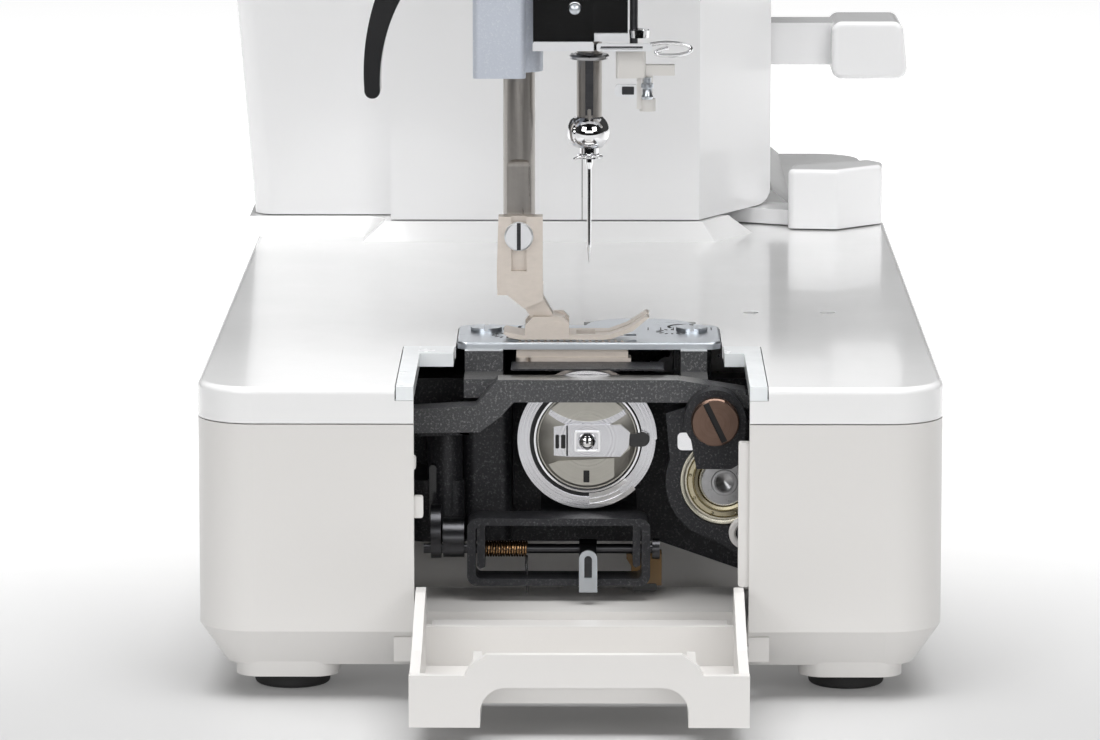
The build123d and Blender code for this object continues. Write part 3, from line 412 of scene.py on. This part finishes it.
def bent_wire(points, radius, closed=False):
    """A round wire along a smooth line."""
    line = bpy.data.curves.new("wire", "CURVE")
    line.dimensions = "3D"
    line.bevel_depth = radius
    line.bevel_resolution = 3
    line.resolution_u = 8
    line.use_fill_caps = True
    spline = line.splines.new("NURBS")
    spline.points.add(len(points) - 1)
    for point, place in zip(spline.points, points):
        point.co = (*place, 1.0)
    spline.order_u = 3
    spline.use_cyclic_u = closed
    spline.use_endpoint_u = not closed
    holder = bpy.data.objects.new("wire", line)
    mesh = bpy.data.meshes.new_from_object(holder)
    shape = bmesh.new()
    shape.from_mesh(mesh)
    bmesh.ops.remove_doubles(shape, verts=shape.verts, dist=0.0001)
    bpy.data.objects.remove(holder)
    return shape


def grown(name, sizes, build, finish, placement):
    """Runs a Geometry Nodes tree once and gives its mesh, put in place, as a shape in bed millimetres."""
    tree = bpy.data.node_groups.new(name, "GeometryNodeTree")
    tree.interface.new_socket("Geometry", in_out="OUTPUT", socket_type="NodeSocketGeometry")
    for label, value in sizes.items():
        kind = "NodeSocketInt" if isinstance(value, int) else "NodeSocketFloat"
        tree.interface.new_socket(label, in_out="INPUT", socket_type=kind)
    given = tree.nodes.new("NodeGroupInput")
    made = build(tree, given)
    apart = tree.nodes.new("GeometryNodeRealizeInstances")
    paint = tree.nodes.new("GeometryNodeSetMaterial")
    paint.inputs["Material"].default_value = finish
    result = tree.nodes.new("NodeGroupOutput")
    tree.links.new(made, apart.inputs[0])
    tree.links.new(apart.outputs[0], paint.inputs["Geometry"])
    tree.links.new(paint.outputs[0], result.inputs[0])
    holder = bpy.data.objects.new(name, bpy.data.meshes.new(name))
    bpy.context.scene.collection.objects.link(holder)
    modifier = holder.modifiers.new(name, "NODES")
    modifier.node_group = tree
    for item in tree.interface.items_tree:
        if item.in_out == "INPUT":
            modifier[item.identifier] = sizes[item.name]
    ready = holder.evaluated_get(bpy.context.evaluated_depsgraph_get())
    mesh = bpy.data.meshes.new_from_object(ready)
    holder.modifiers.remove(modifier)
    bpy.data.objects.remove(holder)
    mesh.transform(placement)
    shape = bmesh.new()
    shape.from_mesh(mesh)
    return shape


def tree_node(tree, kind, settings=None, inputs=None):
    """Adds a Geometry Nodes node, with its settings and what goes into each input."""
    made = tree.nodes.new(kind)
    for name, value in (settings or {}).items():
        setattr(made, name, value)
    for name, value in (inputs or {}).items():
        if isinstance(value, bpy.types.NodeSocket):
            tree.links.new(value, made.inputs[name])
        else:
            made.inputs[name].default_value = value
    return made


def coil(tree, given):
    """A wound spring standing on its end."""
    line = tree_node(tree, "GeometryNodeCurveSpiral", {}, {
        "Resolution": 20, "Rotations": given.outputs["Turns"], "Start Radius": given.outputs["Radius"],
        "End Radius": given.outputs["Radius"], "Height": given.outputs["Length"]})
    section = tree_node(tree, "GeometryNodeCurvePrimitiveCircle", {}, {
        "Resolution": 8, "Radius": given.outputs["Wire"]})
    return tree_node(tree, "GeometryNodeCurveToMesh", {}, {
        "Curve": line.outputs[0], "Profile Curve": section.outputs[0], "Fill Caps": True}).outputs[0]


def circle_of_balls(tree, given):
    """Balls spaced evenly round a circle."""
    line = tree_node(tree, "GeometryNodeMeshCircle", {}, {
        "Vertices": given.outputs["Count"], "Radius": given.outputs["Radius"]})
    ball = tree_node(tree, "GeometryNodeMeshUVSphere", {}, {
        "Segments": 16, "Rings": 10, "Radius": given.outputs["Ball"]})
    return tree_node(tree, "GeometryNodeInstanceOnPoints", {}, {
        "Points": line.outputs[0], "Instance": ball.outputs[0]}).outputs[0]


def circle_of_strokes(tree, given):
    """Short bars that point outwards from a circle."""
    line = tree_node(tree, "GeometryNodeMeshCircle", {}, {
        "Vertices": given.outputs["Count"], "Radius": given.outputs["Radius"]})
    size = tree_node(tree, "ShaderNodeCombineXYZ", {}, {
        "X": given.outputs["Length"], "Y": given.outputs["Width"], "Z": given.outputs["Height"]})
    bar = tree_node(tree, "GeometryNodeMeshCube", {}, {"Size": size.outputs[0]})
    place = tree_node(tree, "GeometryNodeInputPosition")
    turn = tree_node(tree, "FunctionNodeAlignRotationToVector", {"axis": "X", "pivot_axis": "Z"},
                     {"Vector": place.outputs[0]})
    return tree_node(tree, "GeometryNodeInstanceOnPoints", {}, {
        "Points": line.outputs[0], "Instance": bar.outputs[0], "Rotation": turn.outputs[0]}).outputs[0]


def row_of_bars(tree, given):
    """Equal bars in a straight row."""
    reach = tree_node(tree, "ShaderNodeCombineXYZ", {}, {"X": given.outputs["Pitch"]})
    line = tree_node(tree, "GeometryNodeMeshLine", {"mode": "OFFSET"}, {
        "Count": given.outputs["Count"], "Offset": reach.outputs[0]})
    size = tree_node(tree, "ShaderNodeCombineXYZ", {}, {
        "X": given.outputs["Width"], "Y": given.outputs["Length"], "Z": given.outputs["Height"]})
    bar = tree_node(tree, "GeometryNodeMeshCube", {}, {"Size": size.outputs[0]})
    return tree_node(tree, "GeometryNodeInstanceOnPoints", {}, {
        "Points": line.outputs[0], "Instance": bar.outputs[0]}).outputs[0]


facing_left = Matrix.Rotation(math.radians(-90.0), 4, "Y")
facing_front = Matrix.Rotation(math.radians(90.0), 4, "X")

# ======================================================================= bobbin bay
shaft_z = 29.0

spring_turns = grown("spring_turns", {"Turns": 16.0, "Radius": 1.85, "Length": 10.5, "Wire": 0.27}, coil,
                     spring_bronze, Matrix.Translation((45.0, 25.8, shaft_z)) @ facing_front)
finish_piece(spring_turns, "drop_spring", spring_bronze, "machine")
spring_tail = bent_wire([(45.0, 15.4, 27.2), (43.4, 15.6, 25.5), (43.3, 15.2, 22.0), (43.5, 15.3, 18.2)],
                        0.3)
finish_piece(spring_tail, "drop_spring_tail", black, "machine")

tab_outline = [(2.4, 19.8), (2.4, 27.9)] + arc((0.15, 28.1), 2.25, 0, 180, 14) + [(-2.1, 27.9),
                                                                                  (-2.1, 19.8)]
tab_window = [(1.1, 23.4), (1.1, 27.8)] + arc((0.15, 28.0), 0.95, 0, 180, 14) + [(-0.8, 27.8),
                                                                                 (-0.8, 23.4)]
finish_piece(ring_slab(tab_outline, tab_window, 35.6, 0.9), "release_tab", plate_satin, "drop_shaft",
             0.18)

amber_outline = [(-9.4, 26.6), (-9.4, 25.4), (-10.6, 23.4), (-10.6, 18.6), (-18.2, 18.6), (-18.2, 26.6),
                 (-15.4, 26.6), (-14.6, 25.6), (-11.2, 25.6), (-10.6, 26.6)]
finish_piece(slab(amber_outline, 50.3, 5.5), "sensor_block", amber, "machine", 0.2)
finish_piece(slab(rounded((-14.0, 18.2), 6.0, 1.9, 0.5), 49.6, 5.0), "sensor_block_foot", black,
             "machine",
             0.15)

for name, outline_yz in {
        "yoke_arm_left": [(25.7, 25.1), (27.0, 24.6), (27.7, 25.4), (27.7, 35.6), (25.7, 35.6)],
        "yoke_arm_right": [(-10.9, 35.6), (-10.9, 25.6), (-11.6, 24.9), (-12.8, 25.6),
                           (-12.8, 35.6)]}.items():
    finish_piece(slab(outline_yz, 41.0, 8.4), name, casting, "machine", 0.25)
finish_piece(slab(rounded((38.9, 41.0), 1.8, 15.0, 0.85), 53.2, 3.0), "side_stop_post", black, "machine",
             0.2)
strap_outline = ([(42.6, 56.3)] + arc((30.5, 60.2), 3.6, 260, 360, 8) + [(34.1, 62.0), (32.3, 62.0)]
                 + arc((30.5, 60.2), 1.8, 350, 262, 8) + [(42.6, 58.0)])
finish_piece(slab(strap_outline, 50.2, 5.4), "hook_strap", casting, "machine", 0.3)

# Crescents round the hook's mouth.
finish_piece(slab(band(hook_centre, 14.4, 17.35, -92, 40), 49.75, 0.6), "hook_crescent", hook_polished,
             "hook",
             0.22)
finish_piece(slab(band(hook_centre, 13.7, 16.7, 112, 238), 49.75, 0.45), "hook_crescent_far",
             hook_polished,
             "hook", 0.12)
for name, inner, outer, near in (("hook_groove_outer", 16.1, 17.3, 49.7),
                                 ("hook_groove_middle", 14.9, 15.8, 49.85),
                                 ("hook_groove_inner", 13.5, 14.5, 49.7)):
    finish_piece(slab(band(hook_centre, inner, outer, 226, 268, 20), near, 0.6), name, chrome, "hook",
                 0.25)
# Painted shadow behind the grooves.
finish_piece(slab(band(hook_centre, 13.7, 17.2, 226, 268, 20), 50.05, 0.2), "hook_shadow_groove",
             print_and_shade_black, "hook")
finish_piece(turned([(49.55, 12.55), (49.3, 12.8), (49.3, 13.25), (49.6, 13.4), (49.95, 13.2),
                     (49.95, 12.6)],
                    hook_centre), "hook_mouth_rim", chrome, "machine")
# hook_mouth_gap: a black ring in the gap round the hook's mouth, painted shade.
finish_piece(turned([(49.95, 13.3), (49.95, 14.35), (50.4, 14.35), (50.4, 13.3)], hook_centre),
             "hook_mouth_gap", print_and_shade_black, "machine")

# hook_shade: a dark casting plate above the hook, painted shade for the dark band between the bridge's top
# and the feed bar.
finish_piece(slab(rounded((0.4, 73.2), 38.0, 0.4, 0.18), 49.8, 11.0), "hook_shade", casting, "machine",
             0.1)

# Face of the bobbin case: raised cheeks above and below the latch, and its stud.
y0, z0 = hook_centre
# case_recess: the case's recessed face in case_shade, a darker copy of the case metal: painted shade.
finish_piece(turned([(49.86, 0.0), (49.8, 0.4), (49.8, 11.9), (49.95, 12.1), (49.95, 0.0)], hook_centre),
             "case_recess", case_shade, "machine")
upper_cheek = arc(hook_centre, 11.7, 38, 142, 26) + arc((y0, z0 + 18.0), 14.4, 228, 312, 22)
finish_piece(slab(upper_cheek, 49.5, 0.6), "case_cheek_upper", case_satin, "machine", 0.2)
# case_brow: a thin arc over the upper cheek in the brighter polished metal: painted highlight of the case's
# bright upper curve.
brow = arc((y0, z0 + 17.6), 14.6, 229, 311, 22) + arc((y0, z0 + 19.6), 14.9, 308, 232, 22)
finish_piece(slab(brow, 48.9, 1.0), "case_brow", hook_polished, "machine", 0.25)
lower_cheek = ([(y0 - 6.7, z0 - 4.6), (y0 + 7.2, z0 - 5.4), (y0 + 9.6, z0 - 6.2)]
               + arc(hook_centre, 11.5, 325, 274, 16)[1:] + arc(hook_centre, 11.5, 266, 236,
                                                                10) + [(y0 - 6.7, z0 - 9.2)])
finish_piece(slab(lower_cheek, 49.4, 0.7), "case_cheek_lower", case_satin, "machine", 0.2)
# case_slot: a black mark on the lower cheek, painted shade in its slot.
finish_piece(slab(rounded((y0 + 0.2, z0 - 9.2), 1.5, 3.0, 0.2), 49.2, 0.3), "case_slot", print_and_shade_black,
             "machine")
latch_bar = [(y0 + 8.3, z0 - 3.6), (y0 + 8.3, z0 + 3.6), (y0 + 4.8, z0 + 4.1), (y0 - 8.4, z0 + 4.1),
             (y0 - 10.6, z0 + 2.2), (y0 - 10.2, z0 - 1.6), (y0 - 8.2, z0 - 3.9), (y0 + 4.8, z0 - 3.9)]
finish_piece(slab(latch_bar, 47.6, 0.75), "latch_bar", hook_polished, "latch", 0.28)
finish_piece(ring_slab(rounded(hook_centre, 6.4, 5.2, 0.5), rounded(hook_centre, 5.4, 4.5, 0.7), 47.0,
                       0.7),
             "latch_frame", chrome, "latch", 0.16)
# Black marks on the latch: painted shade at its step and in its two windows.
finish_piece(slab([(y0 + 5.2, z0 - 3.7), (y0 + 5.2, z0 + 3.9), (y0 + 4.8, z0 + 3.9),
                   (y0 + 4.8, z0 - 3.7)], 47.45, 0.3),
             "latch_step", print_and_shade_black, "latch")
for name, middle_y, width in (("latch_window_near", 5.95, 1.1), ("latch_window_far", 7.45, 0.9)):
    finish_piece(slab(rounded((y0 + middle_y, z0 - 0.1), width, 3.4, 0.3), 47.3, 0.35), name, print_and_shade_black,
                 "latch")
finish_piece(turned([(45.8, 0.0), (45.9, 0.9), (46.4, 1.7), (47.2, 2.15), (48.0, 2.2), (48.0, 0.0)],
                    hook_centre),
             "case_stud", chrome, "machine")
# Painted shade in the stud's slot.
finish_piece(slab([(y0 - 0.35, z0 - 0.3), (y0 + 0.35, z0 - 0.3), (y0 + 0.35, z0 + 1.5),
                   (y0 - 0.35, z0 + 1.5)], 45.7, 0.5),
             "case_stud_slot", print_and_shade_black, "machine")
finger = arc((y0 - 13.6, z0 + 0.4), 1.9, 90, 270, 12) + [(y0 - 11.6, z0 - 1.5), (y0 - 10.4, z0 - 1.2),
                                                            (y0 - 10.4, z0 + 1.7), (y0 - 11.9, z0 + 1.8)]
finish_piece(slab(finger, 48.2, 1.1), "case_finger", black, "machine", 0.3)

# Ball bearing of the lower shaft: races, brass shield and the shield's dimples.
finish_piece(turned([(43.7, 9.7), (43.6, 9.9), (43.6, 10.8), (43.9, 10.95), (44.2, 10.95), (44.2, 9.7)],
                    low_centre), "bearing_outer_lip", bearing_race, "machine")
finish_piece(turned([(44.3, 6.3), (43.9, 6.6), (43.8, 7.3), (44.05, 7.6), (43.8, 7.9), (43.8, 8.9),
                     (44.2, 9.3),
                     (44.6, 9.3), (44.6, 6.3)], low_centre), "bearing_shield", brass, "machine")
finish_piece(turned([(43.5, 5.65), (43.4, 5.8), (43.4, 6.1), (43.9, 6.3), (44.2, 6.3), (44.2, 5.65)],
                    low_centre), "bearing_inner_lip", bearing_race, "machine")
dimples = grown("dimples", {"Count": 9, "Radius": 8.5, "Ball": 0.42}, circle_of_balls, brass,
                Matrix.Translation((43.9, *low_centre)) @ facing_left)
finish_piece(dimples, "bearing_dimples", brass, "machine")
finish_piece(turned([(41.78, 2.3), (41.6, 2.5), (41.6, 3.1), (41.78, 3.3)], low_centre), "shaft_end_rim",
             shaft_steel,
             "lower")
finish_piece(turned([(43.4, 0.0), (43.2, 0.5), (42.2, 2.15), (43.58, 2.15), (43.58, 0.0)], low_centre),
             "shaft_centre_drill", shaft_steel, "lower")
finish_piece(slab(rounded((-24.1, 56.6), 4.4, 4.4, 1.1), 41.8, 0.6), "screw_tab", chrome, "machine",
             0.2)

# Face of the bracket's large screw: two halves with the slot between them, and behind them a black disc,
# painted shade in the slot.
for name, low in (("bracket_screw_half_front", 71.8), ("bracket_screw_half_rear", 251.8)):
    finish_piece(slab(arc(screw_centre, 5.55, low, low + 164.4, 30), 32.3, 0.8), name, bronze, "machine",
                 0.25)
finish_piece(slab(arc(screw_centre, 5.3, 0, 345, 23), 32.85, 0.2), "bracket_screw_slot", print_and_shade_black,
             "machine")

finish_piece(slab([(70, 11.3), (70, 23.8), (-18, 23.8), (-38, 16.8), (-59, 16.8), (-59, 11.3)], 81.0,
                  1.6), "bay_back_wall",
             warm_white, "machine", 0.2)

# White catches and ribs on the bay's two sides.
for name, middle, width, height, near, depth in (
        ("catch_left_upper", (42.2, 58.5), 1.4, 3.2, 1.0, 2.5),
        ("catch_left_lower", (41.0, 47.7), 2.4, 5.2, 1.0, 2.5),
        ("rib_right", (-37.4, 45.9), 3.0, 35.2, 1.0, 3.0)):
    finish_piece(slab(rounded(middle, width, height, 0.6), near, depth), name, warm_white, "machine",
                 0.25)
finish_piece(turned([(26.0, 2.2), (25.6, 2.6), (25.6, 3.5), (26.0, 3.8), (28.0, 3.8), (28.0, 2.2)],
                    (-38.1, 36.5)),
             "cord_ring", warm_white, "machine")

# ======================================================================= needle head
needle_x = 70.0
finish_piece(turned([(148.6, 3.35), (148.3, 4.0), (148.5, 4.9), (149.2, 5.0), (149.7, 4.6),
                     (149.7, 3.35)],
                    (needle_x, 0.0), "z"), "bar_flange", shaft_steel, "machine")
# bar_slot: painted shade in the needle bar's slot.
finish_piece(slab([(-1.0, 134.6), (1.0, 134.6), (1.0, 150.2), (-1.0, 150.2)], 66.62, 0.5), "bar_slot",
             black_steel_and_slot_shade, "needle_bar", 0.1)
finish_piece(slab(rounded((0.0, 134.9), 0.9, 2.6, 0.4), 66.35, 0.4), "needle_top_in_slot", bar_steel,
             "needle_bar", 0.1)
finish_piece(bent_wire([(66.5, 3.8, 123.7), (65.9, 2.2, 124.6), (66.1, 0.0, 123.9), (65.9, -1.8, 124.7),
                        (66.6, -3.4, 124.2), (67.9, -3.2, 124.0)], 0.35), "clamp_thread_guide", chrome,
             "needle_bar")
finish_piece(turned([(3.2, 0.0), (3.2, 3.7), (3.9, 3.8), (4.6, 3.3), (5.3, 1.9), (5.5, 0.0)],
                    (needle_x, 130.2), "y", 40),
             "clamp_screw_head", chrome, "needle_bar")
finish_piece(slab([(-1.1, 151.8), (14.0, 151.8), (14.0, 153.6), (13.6, 154.0), (-0.7, 154.0),
                   (-1.1, 153.6)], 56.3, 0.75),
             "guard_lip", bright_edge, "machine", 0.15)
finish_piece(slab([(-9.6, 154.0), (-1.2, 154.0), (-1.2, 155.9), (-9.6, 155.9)], 58.2, 0.8),
             "guard_lip_far",
             bright_edge, "machine", 0.15)
finish_piece(turned([(55.9, 0.0), (56.0, 0.8), (56.3, 1.35), (56.7, 1.6), (56.9, 1.6), (56.9, 0.0)],
                    (3.6, 162.2), "x", 32), "guard_rivet", plate_satin, "machine")
finish_piece(turned([(153.2, 0.0), (153.2, 1.0), (182.0, 1.0), (182.0, 0.0)], (60.5, -11.0), "z", 24),
             "guide_rod", black_steel_and_slot_shade, "machine")
finish_piece(turned([(154.6, 1.05), (154.8, 2.5), (156.6, 2.6), (156.9, 2.3), (156.9, 1.05)],
                    (60.5, -12.3), "z", 32),
             "guide_rod_collar", chrome, "machine")
finish_piece(ring_slab(rounded((-8.6, 152.7), 13.6, 1.9, 0.5), rounded((-8.0, 152.6), 10.6, 0.8, 0.3),
                       56.2, 0.9),
             "threader_rail", bright_edge, "machine", 0.12)
finish_piece(bent_wire([(57.0, -15.0, 153.4), (57.0, -18.0, 153.9), (57.2, -22.0, 153.7),
                        (57.5, -25.0, 152.9),
                        (57.5, -25.2, 151.6), (57.2, -22.5, 150.7), (57.0, -19.0, 150.6),
                        (56.8, -16.2, 151.0),
                        (56.8, -16.6, 151.9), (57.2, -19.5, 152.6)], 0.5), "thread_loop", chrome,
                        "machine")
hook_plate = [(-6.3, 141.9), (-7.0, 142.7), (-11.6, 142.7), (-11.6, 139.6), (-10.2, 139.0), (-9.6, 139.7),
              (-7.0, 139.7),
              (-6.3, 140.4)]
finish_piece(slab(hook_plate, 63.6, 1.4), "threader_hook", bright_edge, "threader", 0.25)
# threader_hook_gap: painted shade in the hook's gap.
finish_piece(slab(rounded((-9.6, 141.2), 3.0, 2.0, 0.2), 63.4, 0.3), "threader_hook_gap", black_steel_and_slot_shade,
             "threader")
finish_piece(slab([(-11.8, 136.6), (-11.8, 144.6), (-13.0, 144.6), (-13.0, 136.6)], 63.6, 1.0),
             "threader_blade",
             beige, "threader", 0.15)
finish_piece(turned([(139.2, 0.0), (139.2, 1.25), (139.8, 1.5), (140.4, 1.2), (141.8, 1.2), (142.2, 1.55),
                     (143.0, 1.55), (143.4, 1.0), (144.6, 1.0), (144.6, 0.0)], (62.6, -14.4), "z", 32),
             "threader_pin", plate_satin, "threader")

# foot_screw_slot: painted shade in the screw's slot.
finish_piece(slab([(17.02, 101.5), (17.98, 101.5), (17.98, 108.3), (17.02, 108.3)], 60.8, 0.6),
             "foot_screw_slot",
             black_steel_and_slot_shade, "presser")

# ======================================================================= needle plate and bed
plate_top = 78.0
for name, middle in (("plate_arc_rear", (74.0, 20.5)), ("plate_arc_front", (80.0, -21.0))):
    strokes = grown(name, {"Count": 14, "Radius": 3.4, "Length": 1.3, "Width": 0.5, "Height": 0.06},
                    circle_of_strokes, print_and_shade_black, Matrix.Translation((*middle, plate_top + 0.02)))
    finish_piece(strokes, name, print_and_shade_black, "machine")
for name, middle, low, high in (("plate_lobe_rear", (87.0, 14.0), 60, 240),
                                ("plate_lobe_front", (88.0, -24.0), -60, 120)):
    finish_piece(slab(band(middle, 3.4, 4.1, low, high, 24), plate_top + 0.005, 0.06, "z"), name,
                 print_and_shade_black,
                 "machine")
for name, start in (("plate_rule_front", -31.0), ("plate_rule_rear", 12.0)):
    rule = grown(name, {"Count": 6, "Pitch": 3.2, "Width": 0.25, "Length": 4.0, "Height": 0.06},
                 row_of_bars,
                 print_and_shade_black, Matrix.Translation((84.5, start,
                                                plate_top + 0.02)) @ Matrix.Rotation(math.radians(90), 4,
                                                                                     "Z"))
    finish_piece(rule, name, print_and_shade_black, "machine")
finish_piece(turned([(77.4, 1.15), (77.9, 1.2), (78.06, 1.45), (78.06, 1.9), (77.9, 2.1), (77.4, 2.1)],
                    (needle_x, 0.0), "z", 40),
             "needle_hole_rim", plate_satin, "machine")


# ======================================================================= casings, seen from other sides
def cross_screw(name, place, plane, body):
    """A recessed cross-head screw: its dished head and the cross in it, drawn black as painted shade in the
    recess.
    """
    head = turned([(0.0, 0.0), (0.0, 2.9), (0.5, 2.9), (1.0, 2.3), (1.25, 1.2), (1.3, 0.0)], (0.0, 0.0),
                  "z", 32)
    bmesh.ops.transform(head, matrix=Matrix.Translation(place) @ plane, verts=head.verts)
    finish_piece(head, name, plate_satin, body)
    cross = grown(name + "_cross",
                  {"Count": 4, "Radius": 0.75, "Length": 1.5, "Width": 0.5, "Height": 0.1},
                  circle_of_strokes, print_and_shade_black,
                  Matrix.Translation(place) @ plane @ Matrix.Translation((0.0, 0.0, 1.3)))
    finish_piece(cross, name + "_cross", print_and_shade_black, body)


facing_right = Matrix.Rotation(math.radians(90.0), 4, "Y")
facing_back = Matrix.Rotation(math.radians(-90.0), 4, "X")
for index, (screw_y, screw_z) in enumerate(((-44.0, 192.0), (48.0, 192.0), (-44.0, 294.0),
                                            (48.0, 294.0))):
    cross_screw(f"face_screw_{index}", (29.8, screw_y, screw_z), facing_left, "machine")
for index, (screw_x, screw_z) in enumerate(((60.0, 192.0), (100.0, 192.0), (150.0, 292.0), (230.0, 292.0),
                                            (150.0, 226.0),
                                            (230.0, 226.0))):
    cross_screw(f"rear_screw_{index}", (screw_x, 56.3, screw_z), facing_back, "machine")

# Vents of the motor cover, drawn as black bars: painted shade in the openings.
vents = grown("vents", {"Count": 14, "Pitch": 6.0, "Width": 2.6, "Length": 30.0, "Height": 0.5},
              row_of_bars,
              print_and_shade_black, Matrix.Translation((318.0, 101.1, 190.0)) @ facing_back)
finish_piece(vents, "motor_cover_vents", print_and_shade_black, "machine")

ticks = grown("ticks", {"Count": 24, "Radius": 19.0, "Length": 2.4, "Width": 0.5, "Height": 0.12},
              circle_of_strokes, print_and_shade_black, Matrix.Translation((385.0, -64.9, 205.0)) @ facing_front)
finish_piece(ticks, "stitch_dial_ticks", print_and_shade_black, "stitch_dial")

inlet_frame = rounded((14.0, 45.0), 30.0, 24.0, 3.0)
inlet_mouth = rounded((14.0, 45.0), 24.0, 17.0, 2.0)
finish_piece(ring_slab(inlet_frame, inlet_mouth, 450.0, 2.4), "power_inlet_frame", black, "machine",
             0.5)
finish_piece(slab(rounded((14.0, 45.0), 24.0, 17.0, 2.0), 449.9, 0.3), "power_inlet_floor", print_and_shade_black,
             "machine")
for index, (pin_y, pin_z) in enumerate(((7.0, 43.0), (21.0, 43.0), (14.0, 48.0))):
    finish_piece(slab(rounded((pin_y, pin_z), 2.0, 4.0, 0.4), 450.2, 1.6), f"power_inlet_pin_{index}",
                 plate_satin,
                 "machine", 0.2)

finish_piece(slab(rounded((100.0, -22.0), 14.0, 34.0, 4.0), 180.6, 1.3, "z"), "lamp_lens", milky,
             "machine",
             0.4)
for name, line in {
        "arm_thread_guide": [(120.0, -20.0, 305.0), (120.0, -20.0, 311.0), (120.0, -12.0, 312.0),
                             (120.0, -4.0, 311.0),
                             (120.0, -4.0, 305.0)],
        "face_thread_guide": [(30.0, -30.0, 214.0), (27.2, -31.0, 214.5), (26.4, -28.0, 216.0),
                              (27.0, -24.0, 215.0),
                              (30.0, -24.0, 214.0)],
        "check_spring": [(130.0, -58.0, 233.0), (130.0, -60.0, 228.0), (126.0, -60.5, 225.0),
                         (121.0, -60.0, 228.0),
                         (119.0, -59.0, 234.0)]}.items():
    finish_piece(bent_wire(line, 0.8), name, chrome, "machine")

# ======================================================================= studio
floor_look = Look("studio_floor", Roughness=0.55, Emission_Strength=1.0)
floor_look.feed("Base Color",
                floor_look.blend(floor_look.cloud(0.8), (0.54, 0.54, 0.54, 1.0), (0.57, 0.57, 0.57, 1.0)))
# Painted light: the floor glows more the further back it lies, so the far floor reads white.
glow = floor_look.part(floor_look.place, 0).above(-0.06, 0.22) * 0.7
floor_look.feed("Emission Color", floor_look.blend(glow, (0.0, 0.0, 0.0, 1.0), (1.0, 1.0, 1.0, 1.0)))
floor_near, floor_far, floor_side = -0.62, 9.0, 7.0
floor_shape = bmesh.new()
floor_shape.faces.new([floor_shape.verts.new(corner) for corner in
                       ((floor_near, -floor_side, 0.0), (floor_far, -floor_side, 0.0),
                        (floor_far, floor_side, 0.0), (floor_near, floor_side, 0.0))])
floor_mesh = bpy.data.meshes.new("studio_floor")
floor_shape.to_mesh(floor_mesh)
floor_shape.free()
floor_mesh.materials.append(floor_look.material)
floor = bpy.data.objects.new("studio_floor", floor_mesh)
bpy.context.scene.collection.objects.link(floor)

world = bpy.data.worlds.new("studio_world")
bpy.context.scene.world = world
world.use_nodes = True
sky = world.node_tree
sky_direction = sky.nodes.new("ShaderNodeTexCoord")
sky_parts = sky.nodes.new("ShaderNodeSeparateXYZ")
sky_ramp = sky.nodes.new("ShaderNodeMapRange")
for socket, value in (("From Min", -0.75), ("From Max", 0.05), ("To Min", 0.1), ("To Max", 1.0)):
    sky_ramp.inputs[socket].default_value = value
sky.links.new(sky_direction.outputs["Generated"], sky_parts.inputs[0])
sky.links.new(sky_parts.outputs[0], sky_ramp.inputs["Value"])
sky.links.new(sky_ramp.outputs[0], sky.nodes["Background"].inputs["Strength"])
bpy.context.scene.view_settings.view_transform = "Standard"


def softbox(name, position, target, size, power):
    """A rectangular soft light aimed at a point, both in row metres."""
    lamp = bpy.data.lights.new(name, "AREA")
    lamp.shape = "RECTANGLE"
    lamp.size, lamp.size_y = size
    lamp.energy = power
    holder = bpy.data.objects.new(name, lamp)
    bpy.context.scene.collection.objects.link(holder)
    holder.location = position
    holder.rotation_euler = (Vector(target) - Vector(position)).to_track_quat("-Z", "Y").to_euler()


overhead_watts, front_watts, low_watts = 56.0, 36.0, 3.5
softbox("overhead", (-0.3, 0.0, 1.9), (0.0, 0.0, 0.1), (2.0, 1.6), overhead_watts)
for name, side in (("front_left", 2.0), ("front_right", -2.0)):
    softbox(name, (-3.4, side, 1.6), (-0.15, 0.0, 0.1), (1.7, 1.7), front_watts)
softbox("low_front", (-1.8, 0.0, 0.3), (-0.1, 0.0, 0.06), (1.3, 0.35), low_watts)

camera = bpy.data.objects.new("camera", bpy.data.cameras.new("camera"))
bpy.context.scene.collection.objects.link(camera)
bpy.context.scene.camera = camera
camera.data.sensor_width = 36.0
camera.data.lens = 184.25
right = Vector((0.00701, -0.99999, 0.0))
up = Vector((0.16297, 0.00114, 0.98664))
back = Vector((-0.98661, -0.00692, 0.16298))
camera.matrix_world = (Matrix.Translation((-1.5363, -0.00435, 0.3006))
                       @ Matrix((right, up, back)).transposed().to_4x4())
